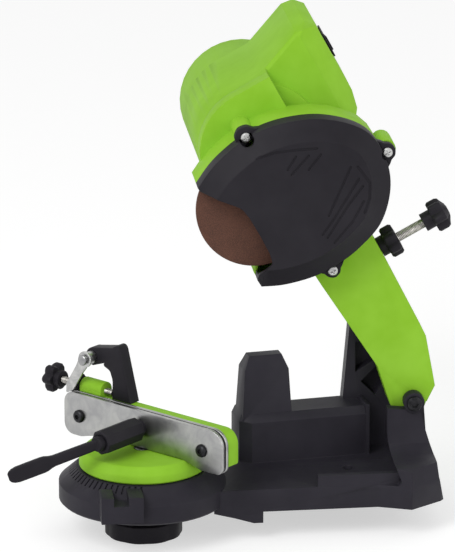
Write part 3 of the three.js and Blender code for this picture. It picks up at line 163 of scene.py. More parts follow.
# %% Moulded nylon
FLOW_MM = 45
GLOSS_SPREAD = 0.06
GRAIN_DEPTH_MM = 0.1


def moulded_nylon(name, shades, rough, shine, grain_mm, depth, edge_mm):
    """Grained plastic. shades are two hex colours that the slow flow mottle runs between."""
    material, tree, shader = new_material(name)
    place = add(tree, "TexCoord").outputs["Object"]
    flow = add(tree, "TexNoise", Vector=place, Scale=per_mm(FLOW_MM), Detail=3.0, Roughness=0.6)
    grain = add(tree, "TexNoise", Vector=place, Scale=per_mm(grain_mm), Detail=2.0, Roughness=0.5)
    colour = add(tree, "ValToRGB", stops=[(0.3, shades[0]), (0.7, shades[1])],
                 Fac=flow.outputs["Fac"])
    tree.links.new(colour.outputs["Color"], shader.inputs["Base Color"])
    gloss = add(tree, "MapRange", Value=grain.outputs["Fac"],
                To_Min=rough - GLOSS_SPREAD, To_Max=rough + GLOSS_SPREAD)
    tree.links.new(gloss.outputs["Result"], shader.inputs["Roughness"])
    edge = add(tree, "Bevel", {"samples": 6}, Radius=edge_mm * MM)
    bump = add(tree, "Bump", Height=grain.outputs["Fac"], Strength=depth,
               Distance=GRAIN_DEPTH_MM * MM, Normal=edge.outputs["Normal"])
    tree.links.new(bump.outputs["Normal"], shader.inputs["Normal"])
    shader.inputs["Specular IOR Level"].default_value = shine
    return material


# A flat leaf green with almost no highlight, for the large mouldings.
green_nylon = moulded_nylon(
    "green_glass_filled_nylon", ("84b82a", "90c43a"),
    rough=0.58, shine=0.1, grain_mm=1.1, depth=0.22, edge_mm=1.0,
)
# A soft black: the grain breaks up the highlight, so edges show as a grey haze.
black_nylon = moulded_nylon(
    "black_glass_filled_nylon", ("1e1c21", "262429"),
    rough=0.5, shine=0.12, grain_mm=1.0, depth=0.35, edge_mm=0.8,
)
# The base is a shade lighter and faintly violet, with the same dull sheen.
charcoal_nylon = moulded_nylon(
    "charcoal_glass_filled_nylon", ("25232a", "2d2b32"),
    rough=0.5, shine=0.13, grain_mm=1.2, depth=0.4, edge_mm=1.0,
)
print("plastics:", [m.name for m in (green_nylon, black_nylon, charcoal_nylon)])

# %% [markdown]
# ## Steels
#
# Zinc plating is a thin bright coat, and tumbling in the bath leaves it cloudy.
# Turned steel has no coat, and black oxide is a dark film on the bare metal. A
# metal shows mostly what it mirrors, so the clouds are made in the roughness as
# well as in the colour. Fine scratches from handling are drawn 0.8 mm apart,
# coarser than they are, so that they still show. One function makes all of these,
# because they differ only in tone, in gloss and in the size of their clouds.

# %% Plated and plain steels
SCRATCH_MM = 0.8
SCRATCH_DEPTH_MM = 0.05


def steel_finish(name, shades, rough, patch_mm, spread=0.1, edge_mm=0.3, grazing="ffffff"):
    """A plated or bare metal. grazing tints what it mirrors at a flat angle."""
    material, tree, shader = new_material(name)
    place = add(tree, "TexCoord").outputs["Object"]
    cloud = add(tree, "TexNoise", Vector=place, Scale=per_mm(patch_mm), Detail=4.0,
                Roughness=0.65, Distortion=0.6)
    scratch = add(tree, "TexNoise", Vector=place, Scale=per_mm(SCRATCH_MM), Detail=1.0)
    colour = add(tree, "ValToRGB", stops=[(0.35, shades[0]), (0.65, shades[1])],
                 Fac=cloud.outputs["Fac"])
    tree.links.new(colour.outputs["Color"], shader.inputs["Base Color"])
    gloss = add(tree, "MapRange", Value=cloud.outputs["Fac"],
                To_Min=rough - spread, To_Max=rough + spread)
    tree.links.new(gloss.outputs["Result"], shader.inputs["Roughness"])
    edge = add(tree, "Bevel", {"samples": 4}, Radius=edge_mm * MM)
    bump = add(tree, "Bump", Height=scratch.outputs["Fac"], Strength=0.15,
               Distance=SCRATCH_DEPTH_MM * MM, Normal=edge.outputs["Normal"])
    tree.links.new(bump.outputs["Normal"], shader.inputs["Normal"])
    shader.inputs["Metallic"].default_value = 1.0
    shader.inputs["Specular Tint"].default_value = linear(grazing)
    return material


# Plated sheet is smooth: a bright even grey with broad, faint clouds.
zinc_sheet = steel_finish(
    "zinc_plated_sheet_steel", ("9c9c9d", "b2b2b0"), rough=0.33, patch_mm=14, spread=0.05,
)
# Plated screws are the brightest metal here, with smaller clouds.
zinc_screw = steel_finish(
    "zinc_plated_fastener_steel", ("a4a4a4", "c6c6c4"), rough=0.36, patch_mm=9,
)
# Painted shade: a darker grazing tint stands in for the light that a thread's grooves trap,
# so the rod mirrors less at a flat angle and looks duller.
zinc_thread = steel_finish(
    "zinc_plated_thread_steel", ("8f8c88", "bdbab5"), rough=0.36, patch_mm=4, grazing="7a7874",
)
# Bare turned steel is a little darker and cooler than the plated parts.
turned_steel = steel_finish("turned_carbon_steel", ("8c8c8e", "a6a6a6"), rough=0.32, patch_mm=6)
# The oxide film is nearly black, and the metal's shine still comes through it.
black_oxide = steel_finish("black_oxide_steel", ("242426", "3a3a3c"), rough=0.42, patch_mm=6)
print("steels:", [m.name for m in (zinc_sheet, zinc_screw, zinc_thread, turned_steel, black_oxide)])

# %% [markdown]
# ## The abrasive, copper and carbon
#
# The wheel is aluminium oxide grit held in a brown bond. Close up it is a rough
# mass of grains of two tones. Nobody models such grains one by one: a cell pattern
# stands for them, in the colour and as a bump. It is drawn at 1 mm, coarser than
# the grit is, so that it still shows. The motor inside has varnished copper wire
# and brushes of pressed carbon, which is grainy too.

# %% Grit, copper and carbon
BOND_CLOUD_MM = 18
GRIT_DEPTH_MM = 0.3


def grit_bond(name, shades, grit_mm):
    """A dry mass of grains. shades are its two hex tones."""
    material, tree, shader = new_material(name)
    place = add(tree, "TexCoord").outputs["Object"]
    grains = add(tree, "TexVoronoi", Vector=place, Scale=per_mm(grit_mm))
    cloud = add(tree, "TexNoise", Vector=place, Scale=per_mm(BOND_CLOUD_MM), Detail=3.0)
    mixed = add(tree, "Mix", {"data_type": "FLOAT"}, _0=0.5,
                _2=grains.outputs["Distance"], _3=cloud.outputs["Fac"])
    colour = add(tree, "ValToRGB", stops=[(0.25, shades[0]), (0.6, shades[1])],
                 Fac=mixed.outputs[0])
    tree.links.new(colour.outputs["Color"], shader.inputs["Base Color"])
    bump = add(tree, "Bump", Height=grains.outputs["Distance"], Strength=0.6,
               Distance=GRIT_DEPTH_MM * MM)
    tree.links.new(bump.outputs["Normal"], shader.inputs["Normal"])
    shader.inputs["Roughness"].default_value = 0.9
    return material


# Dry and dark brown, with no shine at all.
brown_grit = grit_bond("brown_aluminium_oxide_grit", ("40281f", "5a392c"), grit_mm=1.0)
# Soot black and dull.
pressed_carbon = grit_bond("pressed_carbon", ("161616", "242424"), grit_mm=1.4)
# The varnish leaves copper its warm shine.
copper_wire = steel_finish("varnished_copper_wire", ("8a4f2a", "b8743e"), rough=0.35, patch_mm=3)
print("others:", [m.name for m in (brown_grit, pressed_carbon, copper_wire)])

# %% [markdown]
# ## Which part has which finish
#
# The engineering parts arrive in plain colours. A table from finish to part names
# is easier to check against the real tool than a line of code for each part.

# %% Give each part its finish
FINISH = {
    green_nylon: ["wheel_housing", "motor_casing", "vise_table"],
    charcoal_nylon: ["base"],
    black_nylon: [
        "front_cover", "switch_body", "switch_rocker", "cord_gland", "clamp_knob", "stop_arm",
        "stop_knob", "stop_lock_nut", "depth_knob", "depth_lock_nut", "cooling_fan",
        "lever_barrel", "clamp_lever",
    ],
    zinc_sheet: [
        "rear_rail_plate", "front_rail_plate", "chain_pawl", "clamp_washer", "outer_flange",
    ],
    zinc_screw: [
        "cover_screw_top", "cover_screw_right", "cover_screw_bottom", "pivot_nut", "pawl_bush",
        "stop_screw", "depth_rod", "spindle_nut",
    ],
    turned_steel: [
        "return_spring", "clamp_bolt", "clamp_stud", "pawl_pin", "inner_flange", "spindle",
        "spindle_bearing_front", "spindle_bearing_rear", "motor_bearing_front",
        "motor_bearing_rear", "motor_shaft",
    ],
    black_oxide: [
        "pivot_pin", "rail_screw_left", "rail_screw_right", "drive_gear", "motor_pinion", "stator",
    ],
    brown_grit: ["grinding_wheel"],
    copper_wire: ["armature", "commutator"],
    pressed_carbon: ["brush_left", "brush_right"],
}
for finish, names in FINISH.items():
    for name in names:
        nodes[name].data.materials.clear()
        nodes[name].data.materials.append(finish)
print("parts finished:", sum(len(names) for names in FINISH.values()), "of", len(nodes))

# %% [markdown]
# ## Where things are drawn
#
# The head leans back and the vise is turned on its table. Their parts could be
# drawn where they lie, but then each number would hide an angle. So they are drawn
# in the head's and the table's own upright frames and then placed by a matrix. The
# head's origin is the wheel's centre, and the table's is on its turning axis.
# Sizes in the drawings are in millimetres.

# %% Frames for the head and the table
HEAD_TILT = math.radians(-28.8)
RAIL_TURN = math.radians(-46.3)
WHEEL_CENTRE = Vector((-41.813, 0, 257.689))
TABLE_CENTRE = Vector((-137, 0, 0))
HEAD = Matrix.Translation(WHEEL_CENTRE * MM) @ Matrix.Rotation(HEAD_TILT, 4, "Y")
TABLE = Matrix.Translation(TABLE_CENTRE * MM) @ Matrix.Rotation(RAIL_TURN, 4, "Z")
print("wheel centre in mm:", [round(c / MM, 1) for c in HEAD.translation])

# %% [markdown]
# ## Outlines
#
# Most parts of a tool are one outline pushed along an axis. An outline here is a
# list of (a, b) points. Circles and rounded corners cover nearly all of them, and
# one function draws an outline in by a distance, which later eases the edges. At a
# very sharp corner the shift is held back, so that the corner can't run away.

# %% Circles, rounded corners and drawn-in outlines
def circle(radius, centre=(0, 0), count=48):
    """The points of a circle, anticlockwise."""
    angles = [2 * math.pi * i / count for i in range(count)]
    return [(centre[0] + radius * math.cos(a), centre[1] + radius * math.sin(a)) for a in angles]


def rounded(corners, steps=8):
    """An outline from (a, b, radius) corners, each radius drawn as an arc."""
    points = []
    for i, (a, b, radius) in enumerate(corners):
        corner = Vector((a, b))
        before = (Vector(corners[i - 1][:2]) - corner).normalized()
        after = (Vector(corners[(i + 1) % len(corners)][:2]) - corner).normalized()
        half = before.angle(after) / 2
        middle = corner + (before + after).normalized() * radius / math.sin(half)
        start = corner + before * radius / math.tan(half) - middle
        sweep = (2 * half - math.pi) * (1 if before.cross(after) > 0 else -1)
        for k in range(steps + 1 if radius else 1):
            turn = sweep * k / steps
            points.append((
                middle.x + start.x * math.cos(turn) - start.y * math.sin(turn),
                middle.y + start.x * math.sin(turn) + start.y * math.cos(turn),
            ))
    return points


LEAST_SHARE = 0.3


def drawn_in(points, distance):
    """The outline, anticlockwise, drawn in by a distance along its corners' bisectors."""
    moved = []
    for i, point in enumerate(points):
        here = Vector(point)
        into = (here - Vector(points[i - 1])).normalized()
        out = (Vector(points[(i + 1) % len(points)]) - here).normalized()
        normal_in = Vector((-into.y, into.x))
        normal_out = Vector((-out.y, out.x))
        share = max(1 + normal_in.dot(normal_out), LEAST_SHARE)
        moved.append(tuple(here + (normal_in + normal_out) * distance / share))
    return moved


print("points of a circle:", len(circle(1)))

# %% [markdown]
# ## Skins
#
# A form could start from Blender's own cylinder and a bevel. Here one function
# skins a stack of rings instead, because that sets every edge by its real radius and
# spends few faces. The others make the stack: from outlines at places along an axis,
# from radii as a lathe does, or from one outline that is drawn in near both ends,
# which rounds the edges as a real mould or press does.

# %% Stacks, slabs and turnings
AXES = {
    "X": lambda a, b, along: (along, a, b),
    "Y": lambda a, b, along: (a, along, b),
    "Z": lambda a, b, along: (a, b, along),
}


def skin(rings):
    """A closed mesh through rings of equally many points, capped at both ends."""
    form = bmesh.new()
    rows = [[form.verts.new(Vector(point) * MM) for point in ring] for ring in rings]
    for lower, upper in zip(rows, rows[1:]):
        for i in range(len(lower)):
            form.faces.new((lower[i - 1], lower[i], upper[i], upper[i - 1]))
    form.faces.new(rows[0])
    form.faces.new(rows[-1])
    bmesh.ops.recalc_face_normals(form, faces=form.faces)
    return form


def stack(axis, levels):
    """A form from (outline, place along the axis) pairs."""
    return skin([[AXES[axis](a, b, along) for a, b in outline] for outline, along in levels])


def slab(axis, outline, start, end, edge, steps=3):
    """An outline pushed from start to end, with both edges rounded."""
    first = []
    last = []
    for k in range(steps + 1):
        angle = math.pi / 2 * k / steps
        ring = drawn_in(outline, edge * (1 - math.sin(angle)))
        back = edge * (1 - math.cos(angle))
        first.append((ring, start + back))
        last.append((ring, end - back))
    return stack(axis, first + last[::-1])


def turning(axis, profile, centre=(0, 0), count=48):
    """A turned form from (radius, place along the axis) pairs."""
    return stack(axis, [(circle(radius, centre, count), along) for radius, along in profile])


print("axes a form can follow:", list(AXES))

# %% [markdown]
# ## Pieces that ride on the model
#
# A piece is one or more forms joined in one object. It stands for a part of the
# engineering model, which it hides, and rides on the same body, so it moves with
# that body's joint. Grooves and slots are cut out of it with a boolean modifier.
# The cut could stay a modifier, but its result becomes the piece's own mesh, so
# that no cutter is left in the scene.

# %% Carve and place a piece
CREASE = math.radians(32)


def carve(target, cutters):
    """Takes the cutter forms out of an object's mesh."""
    helpers = []
    for cutter in cutters:
        mesh = bpy.data.meshes.new("cutter")
        cutter.to_mesh(mesh)
        cutter.free()
        helper = bpy.data.objects.new("cutter", mesh)
        bpy.context.collection.objects.link(helper)
        modifier = target.modifiers.new("cut", "BOOLEAN")
        modifier.operation = "DIFFERENCE"
        modifier.object = helper
        helpers.append(helper)
    graph = bpy.context.evaluated_depsgraph_get()
    mesh = bpy.data.meshes.new_from_object(target.evaluated_get(graph))
    target.modifiers.clear()
    target.data = mesh
    for helper in helpers:
        bpy.data.objects.remove(helper)


def piece(name, forms, place, finish, body, stands_for, cutters=()):
    """Joins forms into one object at its place, shades it and lets it ride on its body."""
    mesh = bpy.data.meshes.new(name)
    whole = bmesh.new()
    for form in forms:
        part = bpy.data.meshes.new("form")
        form.to_mesh(part)
        form.free()
        whole.from_mesh(part)
        bpy.data.meshes.remove(part)
    whole.to_mesh(mesh)
    whole.free()
    thing = bpy.data.objects.new(name, mesh)
    bpy.context.collection.objects.link(thing)
    if cutters:
        carve(thing, cutters)
    thing.data.transform(place)
    thing.data.materials.clear()
    thing.data.materials.append(finish)
    thing.data.shade_smooth()
    thing.data.set_sharp_from_angle(angle=CREASE)
    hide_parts(*stands_for)
    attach(thing, body)
    print(name, "faces:", len(thing.data.polygons))


print("an edge is sharp from degrees:", round(math.degrees(CREASE)))

# %% [markdown]
# ## The grinding wheel
#
# The wheel is a thin disc of bonded grit, pressed and then baked. The engineering
# disc has flat facets and sharp rims, so a finer one takes its place, with a small
# worn radius on its two edges.

# %% Grinding wheel
WHEEL_R = 50
WHEEL_HALF_T = 1.6
WORN_EDGE = 0.5
disc = slab("Y", circle(WHEEL_R, count=128), -WHEEL_HALF_T, WHEEL_HALF_T, WORN_EDGE)
piece("wheel_fine", [disc], HEAD, brown_grit, "wheel_spindle", ["grinding_wheel"])

# %% [markdown]
# ## The wheel's guard
#
# The front cover is a shallow dish with a wall of about 3 mm. Its outline is a
# smooth curve through a few points, its rim rises square from the joint, and a
# broad band slopes from the rim to the flat face. A bevel could make the band, but
# not one this wide. So the rim's points are led to the nearest place on the flat
# face, which is the convex hull of the drawn-in outline: that keeps the band's inner
# edge smooth. The outline is written in shares of the wheel's radius, because the
# guard follows the wheel.

# %% The cover's dish
COVER_SHARES = [
    (-0.65, 0.874), (-0.23, 1.076), (0.28, 1.196), (0.71, 1.212), (1.19, 1.112), (1.7, 0.878),
    (2.13, 0.496), (2.32, 0.1), (2.29, -0.43), (2.08, -0.87), (1.7, -1.24), (1.21, -1.424),
    (0.786, -1.492), (0.306, -1.48), (-0.2, -1.35), (-0.556, -1.18),
]
JOINT_Y = 3.7
RIM_Y = -13.0
FACE_Y = -22.0
BAND = 17.0


def smooth_through(points, per_span):
    """An open Catmull-Rom curve through the points."""
    curve = []
    for i in range(len(points) - 1):
        near = [points[min(max(i + k, 0), len(points) - 1)] for k in (-1, 0, 1, 2)]
        p = [Vector(point) for point in near]
        for step in range(per_span):
            t = step / per_span
            curve.append(0.5 * (
                2 * p[1] + (p[2] - p[0]) * t + (2 * p[0] - 5 * p[1] + 4 * p[2] - p[3]) * t ** 2
                + (3 * p[1] - p[0] - 3 * p[2] + p[3]) * t ** 3
            ))
    curve.append(Vector(points[-1]))
    return [tuple(q) for q in curve]


def hull_of(points):
    """The convex hull of flat points, anticlockwise."""
    ordered = sorted(set(points))
    halves = []
    for sweep in (ordered, ordered[::-1]):
        chain = []
        for p in sweep:
            while len(chain) > 1 and (
                (chain[-1][0] - chain[-2][0]) * (p[1] - chain[-2][1])
                - (chain[-1][1] - chain[-2][1]) * (p[0] - chain[-2][0])
            ) <= 0:
                chain.pop()
            chain.append(p)
        halves += chain[:-1]
    return halves


def nearest_on(points, outline):
    """For each point, the nearest place on a closed outline."""
    found = []
    for point in map(Vector, points):
        best = None
        for i, corner in enumerate(outline):
            start = Vector(outline[i - 1])
            along = Vector(corner) - start
            share = min(max((point - start).dot(along) / along.length_squared, 0), 1)
            place = start + along * share
            if best is None or (place - point).length < (best - point).length:
                best = place
        found.append(tuple(best))
    return found


def wheel_shares(shares):
    """Shares of the wheel's radius as millimetres."""
    return [tuple(value * WHEEL_R for value in share) for share in shares]


def dish(grow, rim, face):
    """The cover's dish: a square rim, an eased corner, the sloping band and the flat face.
    Drawn in by the wall, it is the hollow's cutter, and then runs on past the joint."""
    outer = drawn_in(rim_line, -grow)
    flat = nearest_on(outer, hull_of(drawn_in(rim_line, BAND - grow)))
    fall = face - rim
    slope = [(0.01, rim + 0.3), (0.05, rim + fall * 0.02), (0.95, rim + fall * 0.9),
             (0.985, rim + fall * 0.975), (1, face)]
    levels = [(outer, JOINT_Y - grow * 4), (outer, rim + 1)]
    for share, along in slope:
        levels.append(([tuple(Vector(a).lerp(Vector(b), share)) for a, b in zip(outer, flat)], along))
    return stack("Y", levels)


rim_line = smooth_through(wheel_shares(COVER_SHARES), 6)[::-1]
print("points of the cover's rim:", len(rim_line))

# %% [markdown]
# ## The guard's notch, grooves and screw ears
#
# A notch bares the wheel, and grooves shaped like leaves decorate the face. Three
# ears flare out of the rim to take the screws, and the dish gives each screw's head
# a round hollow. The grooves are rounded bars, cut 0.8 mm deep. A bump in the
# material could draw them, but cut ones catch the light from every side. All cuts
# come after the dish is whole, so the dish stays smooth around them.

# %% The finished cover
NOTCH_SHARES = [
    (-2, 0.84, 0), (-0.67, 0.84, 0), (-0.555, 0.705, 0), (-0.18, 0.25, 0.3), (-0.146, 0.03, 0.3),
    (-0.14, -0.32, 0.3), (-0.15, -0.68, 0.3), (-0.19, -0.87, 0.06), (-0.49, -0.95, 0.1),
    (-0.62, -1.13, 0), (-2, -1.13, 0),
]
GROOVE_SHARES = [
    [(1.738, -0.052), (1.026, -0.604)],
    [(1.762, -0.302), (1.092, -0.688), (0.778, -0.844)],
    [(1.756, -0.45), (1.402, -0.608), (0.824, -0.934)],
    [(1.646, -0.688), (1.322, -0.9), (0.882, -1.072)],
    [(1.846, -0.106), (1.888, -0.454), (1.764, -0.682), (1.568, -0.868)],
    [(0.456, 0.88), (0.764, 0.816), (1.148, 0.648), (1.402, 0.52)],
    [(1.034, 0.578), (0.81, 0.448)],
    [(1.228, 0.482), (0.826, 0.338)],
    [(1.41, 0.394), (1.114, 0.268)],
]
EARS = {
    "cover_screw_top": ((23, 59.5), 1.0),
    "cover_screw_right": ((119.5, -12.5), 0.8),
    "cover_screw_bottom": ((30.5, -80), 0.75),
}
EAR_CURVE = [
    (-16, -5.5), (-12.8, -1.6), (-10, 0.8), (-8.6, 3.4), (-6.3, 6.6), (0, 9.1),
    (6.3, 6.6), (8.6, 3.4), (10, 0.8), (12.8, -1.6), (16, -5.5),
]
EAR_Y = -4.4
EAR_EDGE = 0.9
COVER_MIDDLE = (40, -5)
COVER_WALL = 3
SCREW_ROOM_R = 6.0
THROUGH = 40
GROOVE_HALF = 1.0
GROOVE_DEPTH = 0.8
GROOVE_END_STEPS = 6


def ear_outline(place, size):
    """A screw ear that flares into the rim on both sides; the curve's second axis points out."""
    curve = [(a * size, b * size) for a, b in smooth_through(EAR_CURVE, 4)]
    out = (Vector(place) - Vector(COVER_MIDDLE)).normalized()
    aside = Vector((out.y, -out.x))
    return [tuple(Vector(place) + aside * a + out * b) for a, b in curve][::-1]


def groove(path):
    """Cutters for a groove in the cover's face: rounded bars along a path."""
    bars = []
    for (a0, b0), (a1, b1) in zip(path, path[1:]):
        along = Vector((a1 - a0, b1 - b0))
        side = Vector((-along.y, along.x)).normalized() * GROOVE_HALF
        turn = math.atan2(side.y, side.x)
        outline = []
        for (a, b), first in (((a1, b1), turn - math.pi), ((a0, b0), turn)):
            for k in range(GROOVE_END_STEPS + 1):
                angle = first + math.pi * k / GROOVE_END_STEPS
                outline.append((a + GROOVE_HALF * math.cos(angle), b + GROOVE_HALF * math.sin(angle)))
        bars.append(stack("Y", [(outline, FACE_Y - COVER_WALL), (outline, FACE_Y + GROOVE_DEPTH)]))
    return bars


notch = rounded(wheel_shares(NOTCH_SHARES))
hollow = dish(-COVER_WALL, RIM_Y + 2, FACE_Y + COVER_WALL)
cutters = [hollow, stack("Y", [(notch, -THROUGH), (notch, THROUGH)])]
for place, _ in EARS.values():
    room = circle(SCREW_ROOM_R, place)
    cutters.append(stack("Y", [(room, -THROUGH), (room, EAR_Y)]))
for shares in GROOVE_SHARES:
    cutters += groove(wheel_shares(shares))
piece(
    "cover_fine", [dish(0, RIM_Y, FACE_Y)], HEAD, black_nylon,
    "grinding_head", ["front_cover"], cutters,
)
ears = [
    slab("Y", ear_outline(place, size), EAR_Y, JOINT_Y, EAR_EDGE) for place, size in EARS.values()
]
piece(
    "cover_ears_fine", ears, HEAD, black_nylon,
    "grinding_head", ["front_cover"],
)

# %% [markdown]
# ## The cover's screws
#
# Three screws with low domed heads hold the cover. A head is turned from its
# profile, because a lathe's form is what a screw's head is, and two crossed bars cut
# the cross slot that takes the screwdriver.

# %% Cross-slotted screws
SCREW_PROFILE = [
    (2.2, 9.0), (2.2, -4.7), (4.3, -4.7), (4.4, -5.0), (4.2, -6.2), (3.4, -7.1), (2.0, -7.4),
]
SLOT_HALF_LENGTH = 2.5
SLOT_HALF_WIDTH = 0.6
SLOT_ABOVE = -8
SLOT_FLOOR = -5.6


def cross(centre):
    """A cross-slot cutter made of two bars."""
    a, b = centre
    bars = []
    for half_a, half_b in (
        (SLOT_HALF_LENGTH, SLOT_HALF_WIDTH), (SLOT_HALF_WIDTH, SLOT_HALF_LENGTH),
    ):
        outline = [
            (a - half_a, b - half_b), (a + half_a, b - half_b),
            (a + half_a, b + half_b), (a - half_a, b + half_b),
        ]
        bars.append(stack("Y", [(outline, SLOT_ABOVE), (outline, SLOT_FLOOR)]))
    return bars


for name, (place, _) in EARS.items():
    head = turning("Y", SCREW_PROFILE, place, count=32)
    piece(
        name + "_fine", [head], HEAD, zinc_screw,
        "grinding_head", [name], cross(place),
    )

# %% [markdown]
# ## The pivot pin
#
# The head hinges on one long pin. Its head shows in front as a blackened screw head
# with a hexagon socket, which takes the key that tightens it. The socket could be
# cut out, but here it is the last part of the same skin, which leaves cleaner faces.
# So a hexagon needs as many points as the circles before it.

# %% Socket screws and the pivot pin
PIVOT = (95.5, 78.7)
KEY_TIP_R = 0.4
KEY_TIP_DEPTH = 0.2


def polygon(radius, sides, centre, turn=0.0, per_side=6):
    """A regular polygon with points along its sides, so that it can be skinned to a circle."""
    angles = [turn + i * 2 * math.pi / sides for i in range(sides)]
    corners = [Vector((radius * math.cos(angle), radius * math.sin(angle))) for angle in angles]
    points = []
    for i, corner in enumerate(corners):
        following = corners[(i + 1) % sides]
        points += [corner.lerp(following, k / per_side) for k in range(per_side)]
    return [(centre[0] + p.x, centre[1] + p.y) for p in points]


def socket_screw(centre, profile, key_r, mouth, bottom):
    """A screw from (radius, place) pairs, closed by a hexagon socket."""
    rings = [(circle(radius, centre), along) for radius, along in profile]
    key = polygon(key_r, 6, centre, per_side=8)
    tip = circle(KEY_TIP_R, centre)
    return stack("Y", rings + [(key, mouth), (key, bottom), (tip, bottom + KEY_TIP_DEPTH)])


pivot = socket_screw(PIVOT, [
    (4, 78.5), (4, 2.8), (6.3, 2.8), (6.5, 2.4), (6.5, 0.9), (6.1, 0.3), (5.2, 0), (3.9, 0),
], key_r=3.2, mouth=0.05, bottom=2.2)
upright = Matrix.Identity(4)
piece("pivot_pin_fine", [pivot], upright, black_oxide, "base_body", ["pivot_pin"])

# %% [markdown]
# ## Hand knobs and threaded rods
#
# A thread is a ridge that climbs one pitch per turn, so its radius depends on the
# place along the rod less the share of a turn. A ridge wound round the rod could
# show it too, but this way rod and ridge are one closed skin. The knobs have six
# lobes, because a hand grips between them. Each knob is one skin: its collar's
# circles change to lobes and back. A fullness below 1 makes the lobes broad and the
# hollows between them narrow, and the lock nuts are drawn a little turned.

# %% Threads and star knobs
DEPTH = (32, -95)
STOP = (12, 85)
LOCK_TURN = 0.4
KNOB_LOBES = 6
KNOB_POINTS = 96
LOBE_FULLNESS = 0.7


def thread(radius, depth, pitch, start, end, centre, around=20, per_turn=6):
    """A threaded rod: the radius rises and falls once per pitch, a little later at each angle."""
    levels = []
    count = int((end - start) / pitch * per_turn)
    for k in range(count + 1):
        along = start + (end - start) * k / count
        ease = min(1, (along - start) / pitch, (end - along) / pitch)
        outline = []
        for i in range(around):
            angle = 2 * math.pi * i / around
            wave = abs(((along / pitch - i / around) % 1) * 2 - 1)
            r = radius - depth * (wave * ease + 1 - ease)
            outline.append((centre[0] + r * math.cos(angle), centre[1] + r * math.sin(angle)))
        levels.append((outline, along))
    return stack("X", levels)


def lobes(count, outer, inner, centre, turn=0.0, steps=KNOB_POINTS):
    """A hand knob's outline: rounded lobes with shallower hollows between them."""
    points = []
    for i in range(steps):
        angle = 2 * math.pi * i / steps
        wave = 0.5 + 0.5 * math.cos(count * (angle - turn))
        radius = inner + (outer - inner) * wave ** LOBE_FULLNESS
        points.append((centre[0] + radius * math.cos(angle), centre[1] + radius * math.sin(angle)))
    return points


def star_knob(centre, rows, turn=0.0):
    """A six-lobed knob from (lobe radius, hollow radius, place) rows; equal radii make a circle."""
    levels = []
    for outer, inner, along in rows:
        if outer == inner:
            levels.append((circle(outer, centre, KNOB_POINTS), along))
        else:
            levels.append((lobes(KNOB_LOBES, outer, inner, centre, turn), along))
    return stack("X", levels)


print("points of a knob's outline:", KNOB_POINTS)

# %% [markdown]
# ## The depth stop
#
# A long screw on the arm limits how deep the wheel can cut. A knob turns it, and a
# second star is its lock nut. The thread is drawn at its true pitch of 1.25 mm, so
# it shows as a fine ribbing.

# %% Depth screw, knob and lock nut
rod = thread(radius=4.2, depth=0.4, pitch=1.25, start=23.5, end=131, centre=DEPTH)
piece("depth_rod_fine", [rod], HEAD, zinc_thread, "depth_screw", ["depth_rod"])
knob = star_knob(DEPTH, [
    (8, 8, 116), (8, 8, 124.6), (12.6, 9.4, 124.7), (14, 10.2, 126.4), (14, 10.2, 133.6),
    (12.8, 9.4, 136), (9.5, 7.5, 137.4), (6, 6, 139.2), (3, 3, 139.9),
])
piece(
    "depth_knob_fine", [knob], HEAD, black_nylon,
    "depth_screw_knob", ["depth_knob"],
)
nut = star_knob(DEPTH, [
    (8.8, 8.8, 73.7), (8.8, 8.8, 79.6), (12.6, 9.6, 79.7), (14, 10.4, 81.4), (14, 10.4, 88.8),
    (12.6, 9.6, 90.8), (8, 8, 91.1), (4.2, 4.2, 91.1), (4.2, 4.2, 88),
], LOCK_TURN)
piece("depth_nut_fine", [nut], HEAD, black_nylon, "depth_nut", ["depth_lock_nut"])

# %% [markdown]
# ## The chain stop's screw
#
# A smaller screw moves the pawl that the chain's cutter rests against. It has the
# same parts, one size down, so the same functions draw it.

# %% Stop screw, knob and lock nut
rod = thread(radius=3, depth=0.32, pitch=1.0, start=-111, end=-44, centre=STOP)
piece("stop_screw_fine", [rod], TABLE, zinc_thread, "stop_adjuster", ["stop_screw"])
knob = star_knob(STOP, [
    (3, 3, -116), (6, 6, -116), (11.6, 8.8, -115.6), (13, 9.6, -113.6), (13, 9.6, -108.2),
    (11.6, 8.8, -106.2), (7.6, 7.6, -105.8), (7.2, 7.2, -101.6), (6.4, 6.4, -101),
    (3.4, 3.4, -101), (3.4, 3.4, -103),
])
piece("stop_knob_fine", [knob], TABLE, black_nylon, "stop_adjuster", ["stop_knob"])
nut = star_knob(STOP, [
    (3.4, 3.4, -85), (3.4, 3.4, -86.7), (8.4, 6.8, -86.7), (9.6, 7.6, -85.2), (9.6, 7.6, -79.4),
    (8.4, 6.8, -78.2), (6.2, 6.2, -78), (6, 6, -76.3),
], LOCK_TURN)
piece("stop_nut_fine", [nut], TABLE, black_nylon, "stop_nut", ["stop_lock_nut"])

# %% [markdown]
# ## The rail plates
#
# Two plates of 3 mm steel hold the chain between them. They are blanked from sheet,
# which rounds their edges slightly, so both are slabs of one outline. Two blackened
# socket screws hold them.

